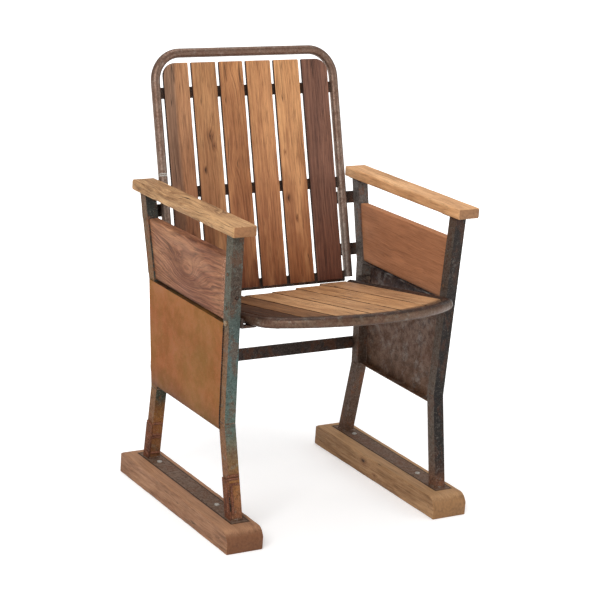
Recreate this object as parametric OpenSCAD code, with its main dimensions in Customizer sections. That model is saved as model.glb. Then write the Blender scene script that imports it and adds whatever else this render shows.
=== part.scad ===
// Cinema chair: a slatted back and a slatted tip-up seat between two steel end frames.
// The front faces -Y, the width runs along X and the floor is z = 0.
// All lengths are millimetres and all angles are degrees.

/* [End frames] */
// Clear width between the two end frames at their feet
clear_w = 475; // [465:1:490]
// Outward lean of each end frame
lean = 1.6; // [1.2:0.1:2]
// Width of an angle iron's flange
angle_w = 25; // [24:0.5:28]
// Thickness of an angle iron
angle_t = 4; // [3:0.5:5]
// Y of the front upright's front face at its foot
front_foot_y = -190; // [-200:1:-180]
// Y of the front upright's front face at its knee
front_knee_y = -146; // [-152:1:-140]
// Height of the front upright's knee
front_knee_z = 240; // [220:1:260]
// Y of the front upright's front face under the armrest
front_top_y = -154; // [-160:1:-148]
// Y of the rear upright's front face at its foot
rear_foot_y = 183; // [176:1:190]
// Y of the rear upright's front face at its knee
rear_knee_y = 157; // [153:1:161]
// Height of the rear upright's knee
rear_knee_z = 215; // [200:1:230]
// Height at which the rear upright bends into the rake of the back
rear_bend_z = 450; // [445:1:452]

/* [Skids] */
// Width of a wooden skid
skid_w = 84; // [80:1:90]
// Length of a wooden skid
skid_l = 489; // [480:1:510]
// Height of a wooden skid
skid_h = 47; // [42:1:52]
// Radius of the skid's front top edge
skid_nose_r = 28; // [15:1:35]
// Radius of the skid's rear top edge
skid_tail_r = 10; // [5:1:15]
// Sideways shift of the skids from the middle of the angle irons
skid_shift = -9.5; // [-11:0.5:-6]
// Width of the flat steel bar let into the skid's top
foot_bar_w = 38; // [36:1:42]
// Thickness of that bar
foot_bar_t = 3; // [2:0.5:4]
// Length of the bar in front of the front foot and behind the rear foot
foot_bar_over = 12; // [4:1:20]

/* [Side panels] */
// Thickness of the wooden side board
board_t = 22; // [20:0.5:23]
// Height of the side board's top edge at the front
board_top_z = 586; // [575:1:595]
// Fall of the side board's top edge towards the rear
board_fall = 8; // [4:1:12]
// Height of the slit between the side board and the steel sheet
slit_h = 4; // [3:0.5:6]
// Thickness of the steel side sheet
sheet_t = 2; // [1.5:0.5:2.5]
// Height of the steel side sheet
sheet_h = 226.5; // [205:0.5:240]
// How much lower the right sheet's low edge lies
sheet_right_drop = 5; // [2:0.5:8]
// Width of the sheet's inward hems
hem_w = 19; // [12:0.5:19]
// Lap of the left sheet over the rear edge of the front upright
sheet_lap = 4; // [3:0.5:8]

/* [Armrests] */
// Width of an armrest
arm_w = 54.6; // [50:0.2:55]
// Length of an armrest
arm_l = 450; // [436:1:460]
// Thickness of an armrest
arm_t = 22.6; // [18:0.2:26]
// Height of the armrest's top at its front end
arm_top_z = 660; // [650:1:675]
// Fall of the armrest towards the rear, degrees
arm_fall = 1.03; // [0.5:0.01:1.5]
// Distance from the front upright to the front end of the armrest
arm_front_over = 21; // [12:1:24]
// Sideways shift of the armrests from the middle of the angle irons
arm_shift = 3.3; // [2:0.1:4]
// Radius of the armrest's long edges
arm_edge_r = 3.5; // [2:0.5:4]
// Radius of the armrest's corners seen from above
arm_corner_r = 4; // [4:1:20]
// Thickness of the plates that carry the armrests
tab_t = 4; // [3:0.5:5]
// Length of those plates
tab_l = 52; // [46:1:60]

/* [Back] */
// Rake of the back from the vertical
rake = 16.3; // [15.5:0.1:17]
// Y of the back's middle plane at seat height
back_y = 180; // [178:1:184]
// Height from which the back is measured
back_z = 400; // [398:1:404]
// Length from there to the middle of the top tube
back_reach = 529.7; // [515:0.1:545]
// Diameter of the back tube
tube_d = 20; // [19:0.5:21]
// Sideways shift of the whole back
back_shift = -4.5; // [-6:0.5:0]
// Gap between the back tube and each end frame's inner face, at the feet
back_clear = 5.5; // [5:0.5:7.5]
// Radius of the back tube's corners, to the middle of the tube
back_corner_r = 61; // [55:1:70]
// Start of the back tube's legs above the measuring height
back_leg_low = 19; // [18:0.5:24]
// Width of the flat bars behind the slats
back_bar_w = 24; // [20:1:26]
// Thickness of the flat bars behind the slats
back_bar_t = 4; // [3:0.5:5]
// Distance along the back to the middle of the lower bar
bar_low_at = 22; // [21:0.5:26]
// Distance along the back to the middle of the middle bar
bar_mid_at = 232.3; // [225:0.1:240]
// Distance from the middle of the top tube down to the middle of the upper bar
bar_top_in = 84.3; // [78:0.1:90]
// Thickness of a back slat
back_slat_t = 9; // [8:0.5:9.5]
// Gap between two back slats
back_slat_gap = 7.5; // [6:0.1:8]
// Gap between the leftmost back slat and the leg of the back tube
back_left_gap = 6; // [5:0.5:9]
// Gap between the rightmost back slat and the leg of the back tube
back_right_gap = 8.5; // [7:0.5:12]
// Lower end of the back slats along the back
back_slat_low = 15.6; // [12:0.2:20]
// Gap between the back slats and the inside of the top tube
back_slat_top_gap = 11; // [8:0.5:14]
// Radius of the outer corners of the outer back slats
back_slat_corner_r = 30; // [20:1:36]
// Height of the four brackets that tie the back to the rear uprights
back_bracket_h = 27; // [22:1:30]
// Thickness of those brackets
back_bracket_t = 4; // [3:0.5:5]
// Distance along the back to the middle of the lower brackets
bracket_low_at = 80.7; // [76:0.1:88]
// Distance along the back to the middle of the upper brackets
bracket_top_at = 197.5; // [192:0.1:204]

/* [Seat] */
// Upward tilt of the seat towards the front at rest
seat_tilt = 9.76; // [9:0.05:10.5]
// Gap between the seat tube and each end frame's inner face, at the feet
seat_clear = 5.5; // [5:0.5:8.5]
// Length from the pivot to the middle of the seat tube's front
seat_reach = 435; // [425:1:446]
// Diameter of the seat tube
seat_tube_d = 22; // [21:0.5:23]
// Length of the side tubes behind the pivot
seat_tail = 40; // [36:1:41]
// Radius of the seat's front bow, to the middle of the tube
bow_r = 320; // [300:5:360]
// Radius of the seat's front corners, to the middle of the tube
seat_corner_r = 50; // [44:1:56]
// Height of the slats' top over the middle of the seat tube
deck_rise = 9; // [7:0.5:10]
// Thickness of a seat slat
seat_slat_t = 15; // [14:0.5:16]
// Gap between two seat slats
seat_slat_gap = 5; // [4:0.1:6]
// Gap between the outer slats and the seat tube
seat_side_gap = 3.5; // [3.3:0.1:5]
// Gap between the slats' front ends and the seat tube
seat_front_gap = 1; // [0.5:0.1:3]
// Width of the flat bars under the slats
seat_bar_w = 24; // [20:1:28]
// Thickness of the flat bars under the slats
seat_bar_t = 4; // [3:0.5:5]
// Distance from the pivot to the middle bar
seat_bar_mid_at = 200; // [180:1:220]
// Distance from the pivot to the rear bar
seat_bar_rear_at = 45; // [42:1:60]

/* [Hinge and stops] */
// Height of the pivot brackets' middle on the rear uprights
pivot_mount_z = 405; // [404:0.5:408]
// Distance from the rear upright's front face to the pivot
pivot_reach = 35; // [33:0.5:37]
// Diameter of the pivot bolt
pivot_d = 10; // [9:0.5:11]
// Radial clearance of the pivot bolt in the seat
pivot_play = 0.05; // [0.03:0.01:0.09]
// Side clearance between the seat and the pivot brackets
side_play = 0.3; // [0.25:0.05:0.5]
// Thickness of the pivot and stop brackets
hinge_t = 4; // [3:0.5:4.5]
// Height of the pivot bracket
pivot_bracket_h = 34; // [30:1:36]
// Width of the stop bracket along the seat
stop_w = 28; // [22:1:32]
// Diameter of the bolts that hold the brackets
bolt_d = 6; // [5:0.5:6.5]
// Gap between the seat tube and the stop brackets at rest
stop_gap = 0.3; // [0.25:0.05:0.4]

/* [Rear crossbar] */
// Height of the crossbar's middle over the floor
crossbar_z = 263; // [256:0.5:268]
// Height of the crossbar
crossbar_h = 27; // [22:1:30]
// Thickness of the crossbar
crossbar_t = 5; // [4:0.5:6]

/* [Hidden] */
// Widths of the six back slats from left to right, which fill the space between the legs
back_slat_widths = [61, 60, 59, 62, 64, 66];
// Widths of the six seat slats from left to right, which fill the space inside the loop
seat_slat_widths = [52, 56, 71, 69, 74, 70];
// Rear end of each seat slat behind the pivot
seat_slat_tails = [-26, -26, -26, -14, 10, 37];

// Shared small sizes: fastener heads, holes and rounding
screw_d = 4;
screw_head_d = 8;
screw_head_h = 2;
screw_bite = 6;
hole_play = 0.1;
head_k = 1.7;
head_h = 4;
slat_edge_r = 2.5;
cleat_w = 8;
weld_ring_l = 6;
weld_ring_rise = 0.4;
weld_ring_gap = 1;
doubler_h = 80;
doubler_t = 2.5;
tube_open_l = 30;
tube_wall = 2;
boss_d = 18;
peen_h = 2;
peen_d = 14;
cut_back = 2;
cut_low_h = 45;
cut_top_h = 15;
crossbar_inset = 2;
bracket_inset = 2;
bar_corner_gap = 1;
hem_gap = 0.5;
face_play = 0.1;
stop_leg_gap = 0.5;
stop_edge = 2;
stop_head_gap = 1.92;
stop_bolt_in = 6;
pivot_edge = 3;
pivot_bolt_pitch = 18;
board_screw_low = 28.5;
board_screw_in = 25;
board_notch_l = 9;
board_notch_h = 5.5;
tab_screw_k = 0.36;
tab_screw_gap = 1.5;
foot_screw_in = 12;
trim = 20;
far = 1000;

// Round parts use this many segments
$fn = 48;

tube_r = tube_d / 2;
seat_r = seat_tube_d / 2;
seat_w = clear_w - 2 * seat_clear;
back_half = clear_w / 2 - back_clear - tube_r;
seat_half = seat_w / 2 - seat_r;

// The back's middle plane and the rear upright's upper front face, by height
function back_plane_y(z) = back_y + (z - back_z) * tan(rake);
function raked_face_y(z) = back_plane_y(z) + (tube_r - angle_w) / cos(rake);

// Heights at which the uprights begin and end before they are trimmed
low_z = skid_h - trim;
high_z = arm_top_z + trim;

// Front face of each upright, as [height, y] pairs
front_slope = (front_foot_y - front_knee_y) / (skid_h - front_knee_z);
rear_slope = (rear_foot_y - rear_knee_y) / (skid_h - rear_knee_z);
top_slope = (front_top_y - front_knee_y) / (arm_top_z - front_knee_z);
front_line = [
    [low_z, front_foot_y + (low_z - skid_h) * front_slope],
    [front_knee_z, front_knee_y],
    [high_z, front_top_y + (high_z - arm_top_z) * top_slope],
];
rear_line = [
    [low_z, rear_foot_y + (low_z - skid_h) * rear_slope],
    [rear_knee_z, rear_knee_y],
    [rear_bend_z, raked_face_y(rear_bend_z)],
    [high_z, raked_face_y(high_z)],
];
function front_y(z) = lookup(z, front_line);
function rear_y(z) = lookup(z, rear_line);

// Lean of an end frame: its sideways offset at a height, and its inner face
function lean_x(z) = (z - skid_h) * tan(lean);
function inner_x(z) = clear_w / 2 + lean_x(z);
// X of the left-hand face of an end frame's angle irons, side -1 left and 1 right
function face_x(side, z) = side < 0 ? -inner_x(z) - angle_w : inner_x(z);
function angle_mid_x(side, z) = side * (inner_x(z) + angle_w / 2);

// Pivot of the seat
mid_tilt = atan((raked_face_y(rear_bend_z) - rear_knee_y) / (rear_bend_z - rear_knee_z));
pivot_y = rear_y(pivot_mount_z) - pivot_reach * cos(mid_tilt);
pivot_z = pivot_mount_z + pivot_reach * sin(mid_tilt);
boss_l = 3.9;
pivot_leg_x = seat_w / 2 + boss_l + side_play;

// Stop bolt: level with the seat tube, inside the front upright
head_r = bolt_d * head_k / 2 / cos(30);
stop_bolt_up = -seat_r - stop_gap + head_r + stop_head_gap;
stop_bolt_y = front_y(rear_bend_z) + angle_t + stop_bolt_in;
stop_at = (pivot_y - stop_bolt_y + stop_bolt_up * sin(seat_tilt)) / cos(seat_tilt);
stop_bolt_z = pivot_z + stop_at * sin(seat_tilt) + stop_bolt_up * cos(seat_tilt);
board_proud = max(0, angle_t + board_t - angle_w);
stop_leg_x = inner_x(stop_bolt_z) - board_proud - stop_leg_gap;

sheet_top_z = stop_bolt_z - slit_h / 2;
sheet_low_z = sheet_top_z - sheet_h;
board_low_z = stop_bolt_z + slit_h / 2;
bar_top_at = back_reach - bar_top_in;

// Armrest plane: its front end and the underside of the plates below it
arm_front_y = front_top_y - arm_front_over;
arm_under = arm_t + tab_t;

// Seat loop: the front bow and the corners touch the sides without a kink
bow_at = seat_reach - bow_r;
corner_x = seat_half - seat_corner_r;
corner_at = bow_at + sqrt((bow_r - seat_corner_r) ^ 2 - corner_x ^ 2);
corner_turn = atan2(corner_at - bow_at, corner_x);
deck_low = deck_rise - seat_slat_t;

// Overall box of the chair, which puts the origin under its middle
skid_min_x = angle_mid_x(-1, skid_h) + skid_shift - skid_w / 2;
arm_edge_x = angle_mid_x(1, arm_top_z) + arm_shift + arm_w / 2;
seat_front_y = pivot_y - seat_reach * cos(seat_tilt) - seat_r;
back_rear_y = back_y + back_reach * sin(rake) + tube_r;
mid_x = (skid_min_x + arm_edge_x) / 2;
mid_y = (seat_front_y + back_rear_y) / 2;

// Moves the chair so that the origin lies on the floor under the middle of its box
module on_origin() translate([-mid_x, -mid_y, 0]) children();

// Places an outline of [y, z] points as a plate that starts at x0 and is t thick
module side_plate(x0, t) translate([x0, 0, 0]) rotate([90, 0, 90]) linear_extrude(t) children();

// Frame of an end frame: x = 0 on the left-hand face of its angle irons, leaning outwards
module in_frame(side)
    translate([face_x(side, skid_h), 0, skid_h])
        rotate([0, side * lean, 0])
            translate([0, 0, -skid_h])
                children();

// Frame of the back: z along the slats, y towards the rear
module in_back() translate([back_shift, back_y, back_z]) rotate([-rake, 0, 0]) children();

// Frame of the seat at rest: the pivot is the origin, the front lies towards -y
module in_seat() translate([0, pivot_y, pivot_z]) rotate([-seat_tilt, 0, 0]) children();

// Frame on the rear upright's front face between its knee and its bend
module on_rear_face(z) translate([0, rear_y(z), z]) rotate([-mid_tilt, 0, 0]) children();

// Frame of the armrests: the origin on their top at the front end
module in_arms() translate([0, arm_front_y, arm_top_z]) rotate([-arm_fall, 0, 0]) children();

// Rod along X between two places
module rod_x(x0, x1, d) translate([x0, 0, 0]) rotate([0, 90, 0]) cylinder(h = x1 - x0, d = d);

// Rod along Y between two places
module rod_y(y0, y1, d) translate([0, y0, 0]) rotate([-90, 0, 0]) cylinder(h = y1 - y0, d = d);

// Rectangle with true round corners
module round_rect(w, h, r) {
    translate([r, 0]) square([w - 2 * r, h]);
    translate([0, r]) square([w, h - 2 * r]);
    for (x = [r, w - r], y = [r, h - r]) translate([x, y]) circle(r);
}

// Strip of the given width behind a front line of [height, y] points
function strip(line, w) =
    concat([for (p = line) [p[1], p[0]]],
           [for (i = [len(line) - 1 : -1 : 0]) [line[i][1] + w, line[i][0]]]);

// Space between the skids' tops and the armrest plates, which trims the uprights
module upright_space() {
    intersection() {
        translate([-far, -far, skid_h]) cube([2 * far, 2 * far, far]);
        in_arms() translate([-far, -far, -arm_under - 2 * far]) cube([2 * far, 3 * far, 2 * far]);
    }
}

// Angle iron along a front line: one flange faces sideways and one faces the front
module angle_iron(line, side) {
    intersection() {
        in_frame(side) {
            side_plate(0, angle_t) polygon(strip(line, angle_w));
            side_plate(0, angle_w) polygon(strip(line, angle_t));
        }
        upright_space();
    }
}

// Wooden skid with rounded front and rear top edges and a seat for the foot bar
module skid(side) {
    x = angle_mid_x(side, skid_h) + skid_shift - skid_w / 2;
    color(side < 0 ? "burlywood" : "tan")
        difference() {
            side_plate(x, skid_w) skid_outline();
            foot_bar_body(side, 0);
            for (y = foot_screw_ys()) translate([angle_mid_x(side, skid_h), y, skid_h])
                mirror([0, 0, 1]) cylinder(h = foot_bar_t + 2 * screw_bite, d = screw_d + 2 * hole_play);
        }
}

module skid_outline() {
    h = skid_l / 2;
    difference() {
        translate([-h, 0]) square([skid_l, skid_h]);
        translate([-h, skid_h - skid_nose_r]) difference() {
            translate([-1, 0]) square([skid_nose_r + 1, skid_nose_r + 1]);
            translate([skid_nose_r, 0]) circle(skid_nose_r);
        }
        translate([h - skid_tail_r, skid_h - skid_tail_r]) difference() {
            square(skid_tail_r + 1);
            circle(skid_tail_r);
        }
    }
}

// Flat bar let flush into the skid's top
module foot_bar_body(side, play) {
    y0 = front_foot_y - foot_bar_over;
    y1 = rear_foot_y + angle_w + foot_bar_over;
    translate([angle_mid_x(side, skid_h) - foot_bar_w / 2 - play, y0 - play, skid_h - foot_bar_t])
        cube([foot_bar_w + 2 * play, y1 - y0 + 2 * play, foot_bar_t]);
}

// Foot screws stand just inside the two feet
function foot_screw_ys() = [front_foot_y + 3 * angle_w + foot_screw_in, rear_foot_y - angle_w];

module foot_bar(side) {
    color("dimgray")
        difference() {
            foot_bar_body(side, 0);
            for (y = foot_screw_ys()) translate([angle_mid_x(side, skid_h), y, 0])
                cylinder(h = skid_h + 1, d = screw_d + 2 * hole_play);
        }
}

module foot_screws() {
    color("silver")
        for (side = [-1, 1], y = foot_screw_ys())
            translate([angle_mid_x(side, skid_h), y, skid_h]) {
                translate([0, 0, -foot_bar_t - screw_bite])
                    cylinder(h = foot_bar_t + screw_bite, d = screw_d);
                screw_head(screw_head_d + 3, screw_head_h + 0.5);
            }
}

// Round screw head with a slight dome, standing on z = 0
module screw_head(d, h) {
    cylinder(h = h * 0.6, d = d);
    translate([0, 0, h * 0.6]) cylinder(h = h * 0.4, d1 = d, d2 = d * 0.7, $fn = 24);
}

// Hexagonal head or nut standing on z = 0
module hex_head(d = bolt_d, h = head_h) cylinder(h = h, r = d * head_k / 2 / cos(30), $fn = 6);

// Front uprights, with the stop bolt's hole
module front_upright(side) {
    color(side < 0 ? "cadetblue" : "darkslategray")
        difference() {
            angle_iron(front_line, side);
            translate([0, stop_bolt_y, stop_bolt_z]) rod_x(-far, far, bolt_d + 2 * hole_play);
            for (z = board_screw_zs()) board_front_screw(side, z)
                rod_x(-angle_w, angle_w, screw_d + 2 * hole_play);
        }
}

// Rear uprights, with the holes for the pivot brackets and the boards
module rear_upright(side) {
    color(side < 0 ? "saddlebrown" : "slategray")
        difference() {
            angle_iron(rear_line, side);
            pivot_bracket_holes(side);
            for (z = board_screw_zs()) board_rear_screw(side, z) rod_y(-far, far, screw_d + 2 * hole_play);
        }
}

// Plates welded round the left feet, where the angle irons were made good
module foot_doublers() {
    color("sienna")
        intersection() {
            in_frame(-1) {
                side_plate(-doubler_t, doubler_t) polygon(strip(front_line, angle_w));
                side_plate(-doubler_t, doubler_t) polygon(strip(rear_line, angle_w));
            }
            translate([-far, -far, skid_h]) cube([2 * far, 2 * far, doubler_h]);
        }
}

// Heights of the screws in the side boards
function board_screw_zs() = [board_low_z + board_screw_low, board_top_z - board_fall - board_screw_in];

// Place of a screw through the front upright's sideways flange into the board
module board_front_screw(side, z)
    translate([face_x(side, z), front_y(z) + angle_w * 0.6, z]) rotate([0, side * lean, 0]) children();

// Place of a screw through the rear upright's front flange into the end of the board
module board_rear_screw(side, z)
    translate([face_x(side, z) + angle_t + board_t / 2, rear_y(z), z]) rotate([-rake, 0, 0]) children();

// Wooden board between the uprights, behind the sideways flange of the front one.
// Its front low corner is cut out round the stop bolt.
module side_board(side) {
    z1 = board_top_z;
    z2 = board_top_z - board_fall;
    notch_y = stop_bolt_y + board_notch_l;
    notch_z = stop_bolt_z + board_notch_h;
    outline = [
        [notch_y, board_low_z],
        [rear_y(board_low_z), board_low_z],
        [rear_y(z2), z2],
        [front_y(z1) + angle_t, z1],
        [front_y(notch_z) + angle_t, notch_z],
        [notch_y, notch_z],
    ];
    color(side < 0 ? "peru" : "rosybrown")
        difference() {
            in_frame(side) side_plate(angle_t, board_t) polygon(outline);
            for (z = board_screw_zs()) {
                board_front_screw(side, z) rod_x(0, angle_t + 2 * screw_bite, screw_d + 2 * hole_play);
                board_rear_screw(side, z) rod_y(-2 * screw_bite, 1, screw_d + 2 * hole_play);
            }
        }
}

module board_screws() {
    color("silver")
        for (side = [-1, 1], z = board_screw_zs()) {
            board_front_screw(side, z) {
                rod_x(0, angle_t + screw_bite, screw_d);
                rotate([0, -90, 0]) screw_head(screw_head_d, screw_head_h);
            }
            board_rear_screw(side, z) {
                rod_y(-screw_bite, angle_t / cos(rake) + 0.2, screw_d);
                translate([0, angle_t / cos(rake), 0]) rotate([-90, 0, 0])
                    screw_head(screw_head_d, screw_head_h);
            }
        }
}

// Inward hem of a side sheet at height z, between the uprights
module sheet_hem(x0, z, front_y0, rear_y0)
    translate([x0, front_y0, z]) cube([hem_w, rear_y0 - front_y0, sheet_t]);

// Left sheet: outside the angle irons, lapped over both of their sideways flanges
module side_sheet_left() {
    z0 = sheet_low_z;
    z1 = sheet_top_z;
    lap = angle_w - sheet_lap;
    outline = [
        [front_y(z0) + lap, z0],
        [rear_y(z0) + lap, z0],
        [rear_y(z1) + lap, z1],
        [front_y(z1) + lap, z1],
        [front_y(front_knee_z) + lap, front_knee_z],
    ];
    color("sienna")
        in_frame(-1) {
            side_plate(-sheet_t, sheet_t) polygon(outline);
            for (z = [z0, z1 - sheet_t])
                sheet_hem(-sheet_t / 2, z, front_y(z) + angle_w + hem_gap, rear_y(z) - cut_back);
        }
}

// Right sheet: between the front flanges and flush with their outer edges. It is cut back
// at its rear corners.
module side_sheet_right() {
    z0 = sheet_low_z - sheet_right_drop;
    z1 = sheet_top_z;
    low = z0 + cut_low_h;
    top = z1 - cut_top_h;
    outline = [
        [front_y(z0) + angle_t, z0],
        [rear_y(z0) - cut_back, z0],
        [rear_y(low) - cut_back, low],
        [rear_y(low), low],
        [rear_y(top), top],
        [rear_y(top) - cut_back, top],
        [rear_y(z1) - cut_back, z1],
        [front_y(z1) + angle_t, z1],
        [front_knee_y + angle_t, front_knee_z],
    ];
    hem_x = angle_w - sheet_t / 2 - hem_w;
    color("#3b3438")
        in_frame(1) {
            side_plate(angle_w - sheet_t, sheet_t) polygon(outline);
            for (z = [z0, z1 - sheet_t])
                sheet_hem(hem_x, z, front_y(z) + angle_w + hem_gap, rear_y(z) - cut_back);
        }
}

// Armrest: a board with eased long edges and rounded corners
module armrest(side) {
    x0 = angle_mid_x(side, arm_top_z) + arm_shift - arm_w / 2;
    color("wheat")
        difference() {
            in_arms() translate([x0, 0, -arm_t]) intersection() {
                translate([0, arm_l, 0]) rotate([90, 0, 0]) linear_extrude(arm_l)
                    round_rect(arm_w, arm_t, arm_edge_r);
                linear_extrude(arm_t) round_rect(arm_w, arm_l, arm_corner_r);
            }
            arm_screw_places() rod_up(0, 3 * screw_bite, screw_d + 2 * hole_play);
        }
}

// Rod along z between two heights
module rod_up(z0, z1, d) translate([0, 0, z0]) cylinder(h = z1 - z0, d = d);

// Middle of each armrest plate: the front one's first screw stands just behind the flange
function tab_ys() = [
    front_top_y + angle_t + screw_head_d / 2 + tab_screw_gap + tab_screw_k * tab_l,
    raked_face_y(arm_top_z - arm_under) + angle_w / 2,
];

// Places of the armrest screws on the underside of the plates
module arm_screw_places()
    for (side = [-1, 1], y = tab_ys(), d = [-tab_screw_k, tab_screw_k] * tab_l)
        in_arms() translate([angle_mid_x(side, arm_top_z), y - arm_front_y + d, -arm_under]) children();

// Plates welded on the tops of the uprights
module arm_tabs() {
    color("dimgray")
        difference() {
            in_arms() for (side = [-1, 1], y = tab_ys() - [arm_front_y, arm_front_y])
                translate([angle_mid_x(side, arm_top_z) - angle_w / 2, y - tab_l / 2, -arm_under])
                    cube([angle_w, tab_l, tab_t]);
            arm_screw_places() rod_up(-1, tab_t + 1, screw_d + 2 * hole_play);
        }
}

module arm_screws() {
    color("silver")
        arm_screw_places() {
            rod_up(0, tab_t + 2 * screw_bite, screw_d);
            mirror([0, 0, 1]) screw_head(screw_head_d, screw_head_h);
        }
}

// Flat bar across the rear, on the rear edges of the rear uprights' sideways flanges
module rear_crossbar() {
    x0 = face_x(-1, crossbar_z) + crossbar_inset;
    x1 = face_x(1, crossbar_z) + angle_t - crossbar_inset;
    color("dimgray")
        on_rear_face(crossbar_z) translate([x0, crossbar_front(), -crossbar_h / 2])
            cube([x1 - x0, crossbar_t, crossbar_h]);
}

// Distance of the flanges' rear edges behind the upright's front face, square to it
function crossbar_front() = angle_w * cos(mid_tilt) + face_play;

// Small weld cleats that hold the ends of the crossbar to the flanges
module crossbar_cleats() {
    color("gray")
        on_rear_face(crossbar_z) for (side = [-1, 1]) {
            x = side < 0 ? face_x(-1, crossbar_z) + angle_t + 1 : face_x(1, crossbar_z) - 1 - cleat_w;
            translate([x, crossbar_front() - cleat_w, -crossbar_h / 4])
                cube([cleat_w, cleat_w, crossbar_h / 2]);
        }
}

// Back loop: two legs, two corners and the top
module back_loop() {
    x = back_half - back_corner_r;
    z = back_reach - back_corner_r;
    for (side = [-1, 1]) translate([side * back_half, 0, back_leg_low])
        cylinder(h = z - back_leg_low, r = tube_r);
    for (side = [-1, 1]) mirror([side < 0 ? 1 : 0, 0, 0]) translate([x, 0, z]) rotate([90, 0, 0])
        rotate_extrude(angle = 90) translate([back_corner_r, 0]) circle(tube_r);
    translate([0, 0, back_reach]) rod_x(-x, x, tube_d);
}

module back_tube() {
    color("#4a3f3a")
        difference() {
            in_back() back_loop();
            in_back() for (side = [-1, 1]) translate([side * back_half, 0, back_leg_low - 1])
                cylinder(h = tube_open_l, r = tube_r - tube_wall);
            in_back() back_bolt_places() rod_y(0, tube_r + 1, bolt_d + 2 * hole_play);
        }
}

// Places of the four bolts that hold the back tube to its brackets
module back_bolt_places()
    for (side = [-1, 1], t = [bracket_low_at, bracket_top_at])
        translate([side * back_half, 0, t]) children();

// Sum of the first n widths, and the factor by which a row of slats fills its space
function sum(widths, n) = n == 0 ? 0 : widths[n - 1] + sum(widths, n - 1);
function fill(widths, gap, space) = (space - (len(widths) - 1) * gap) / sum(widths, len(widths));

// Width and left edge of back slat i
back_inside = back_half - tube_r;
back_fill = fill(back_slat_widths, back_slat_gap, 2 * back_inside - back_left_gap - back_right_gap);
function back_slat_w(i) = back_fill * back_slat_widths[i];
function back_slat_x(i) =
    back_left_gap - back_inside + back_fill * sum(back_slat_widths, i) + i * back_slat_gap;
back_slat_high = back_reach - tube_r - back_slat_top_gap;

// Screws hold each back slat to the three bars from behind
module back_screw_places(i)
    for (t = [bar_low_at, bar_mid_at, bar_top_at])
        translate([back_slat_x(i) + back_slat_w(i) / 2, 0, t]) children();

module back_slat(i) {
    w = back_slat_w(i);
    h = back_slat_high - back_slat_low;
    tints = ["#6e4f45", "#c9a27c", "#8e5a48", "#d0a06e", "#caa680", "#4c3640"];
    color(tints[i])
        in_back() difference() {
            translate([back_slat_x(i), 0, back_slat_low]) intersection() {
                linear_extrude(h) translate([0, -back_slat_t]) round_rect(w, back_slat_t, slat_edge_r);
                rotate([90, 0, 0]) linear_extrude(back_slat_t) slat_outline(i, w, h);
            }
            back_screw_places(i) rod_y(-screw_bite - 1, 1, screw_d + 2 * hole_play);
        }
}

// Outline of a back slat; the outermost two have a rounded outer top corner
module slat_outline(i, w, h) {
    r = back_slat_corner_r;
    if (i > 0 && i < 5) {
        square([w, h]);
    } else {
        square([w, h - r]);
        translate([i == 0 ? r : 0, 0]) square([w - r, h]);
        translate([i == 0 ? r : w - r, h - r]) circle(r);
    }
}

// Flat bar behind the back slats, between the legs of the back tube
module back_bar(t) {
    color("#57504a")
        in_back() difference() {
            translate([-back_inside, 0, t - back_bar_w / 2])
                cube([2 * back_inside, back_bar_t, back_bar_w]);
            for (i = [0 : 5]) back_screw_places(i) rod_y(-1, back_bar_t + 1, screw_d + 2 * hole_play);
        }
}

module back_slat_screws() {
    color("silver")
        in_back() for (i = [0 : 5]) back_screw_places(i) {
            rod_y(-screw_bite, back_bar_t, screw_d);
            translate([0, back_bar_t, 0]) rotate([-90, 0, 0]) screw_head(screw_head_d, screw_head_h);
        }
}

// Flat bracket from the rear upright's flange to the rear of the back tube's leg
module back_bracket(side, t) {
    z = back_z + t * cos(rake);
    end = side < 0 ? face_x(-1, z) + bracket_inset : face_x(1, z) + angle_t - bracket_inset;
    outer = end - back_shift;
    inner = side * (back_half - tube_r + 2);
    color("#5d4a3e")
        in_back() difference() {
            translate([min(inner, outer), tube_r, t - back_bracket_h / 2])
                cube([abs(outer - inner), back_bracket_t, back_bracket_h]);
            back_bolt_places() rod_y(tube_r - 1, tube_r + back_bracket_t + 1, bolt_d + 2 * hole_play);
        }
}

module back_bracket_bolts() {
    color("dimgray")
        in_back() back_bolt_places() {
            rod_y(2, tube_r + back_bracket_t, bolt_d);
            translate([0, tube_r + back_bracket_t, 0]) rotate([-90, 0, 0]) hex_head();
        }
}

// Pivot bracket: one leg bolted to the rear upright, one leg forward to the pivot
module pivot_bracket_body(side) {
    r = pivot_bracket_h / 2 - 2;
    w = inner_x(pivot_mount_z) + angle_w - pivot_edge - pivot_leg_x;
    x0 = side < 0 ? -pivot_leg_x - w : pivot_leg_x;
    leg_x = side < 0 ? -pivot_leg_x - hinge_t : pivot_leg_x;
    on_rear_face(pivot_mount_z) {
        translate([x0, -hinge_t - face_play, -pivot_bracket_h / 2]) cube([w, hinge_t, pivot_bracket_h]);
        side_plate(leg_x, hinge_t) {
            translate([-pivot_reach, 0]) circle(r);
            translate([-pivot_reach, -r]) square([pivot_reach - face_play, 2 * r]);
        }
    }
}

// Places of the two bolts of a pivot bracket, on the rear upright's front face
module pivot_bracket_bolt_places(side)
    for (z = [-0.5, 0.5] * pivot_bolt_pitch) on_rear_face(pivot_mount_z)
        translate([side * (inner_x(pivot_mount_z) + angle_w / 2 + 1), 0, z]) children();

module pivot_bracket_holes(side)
    pivot_bracket_bolt_places(side) rod_y(-3 * hinge_t, 3 * angle_t, bolt_d + 2 * hole_play);

module pivot_bracket(side) {
    color("#6b5d52")
        difference() {
            pivot_bracket_body(side);
            pivot_bracket_holes(side);
            translate([0, pivot_y, pivot_z]) rod_x(-far, far, pivot_d + 2 * pivot_play);
        }
}

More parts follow.
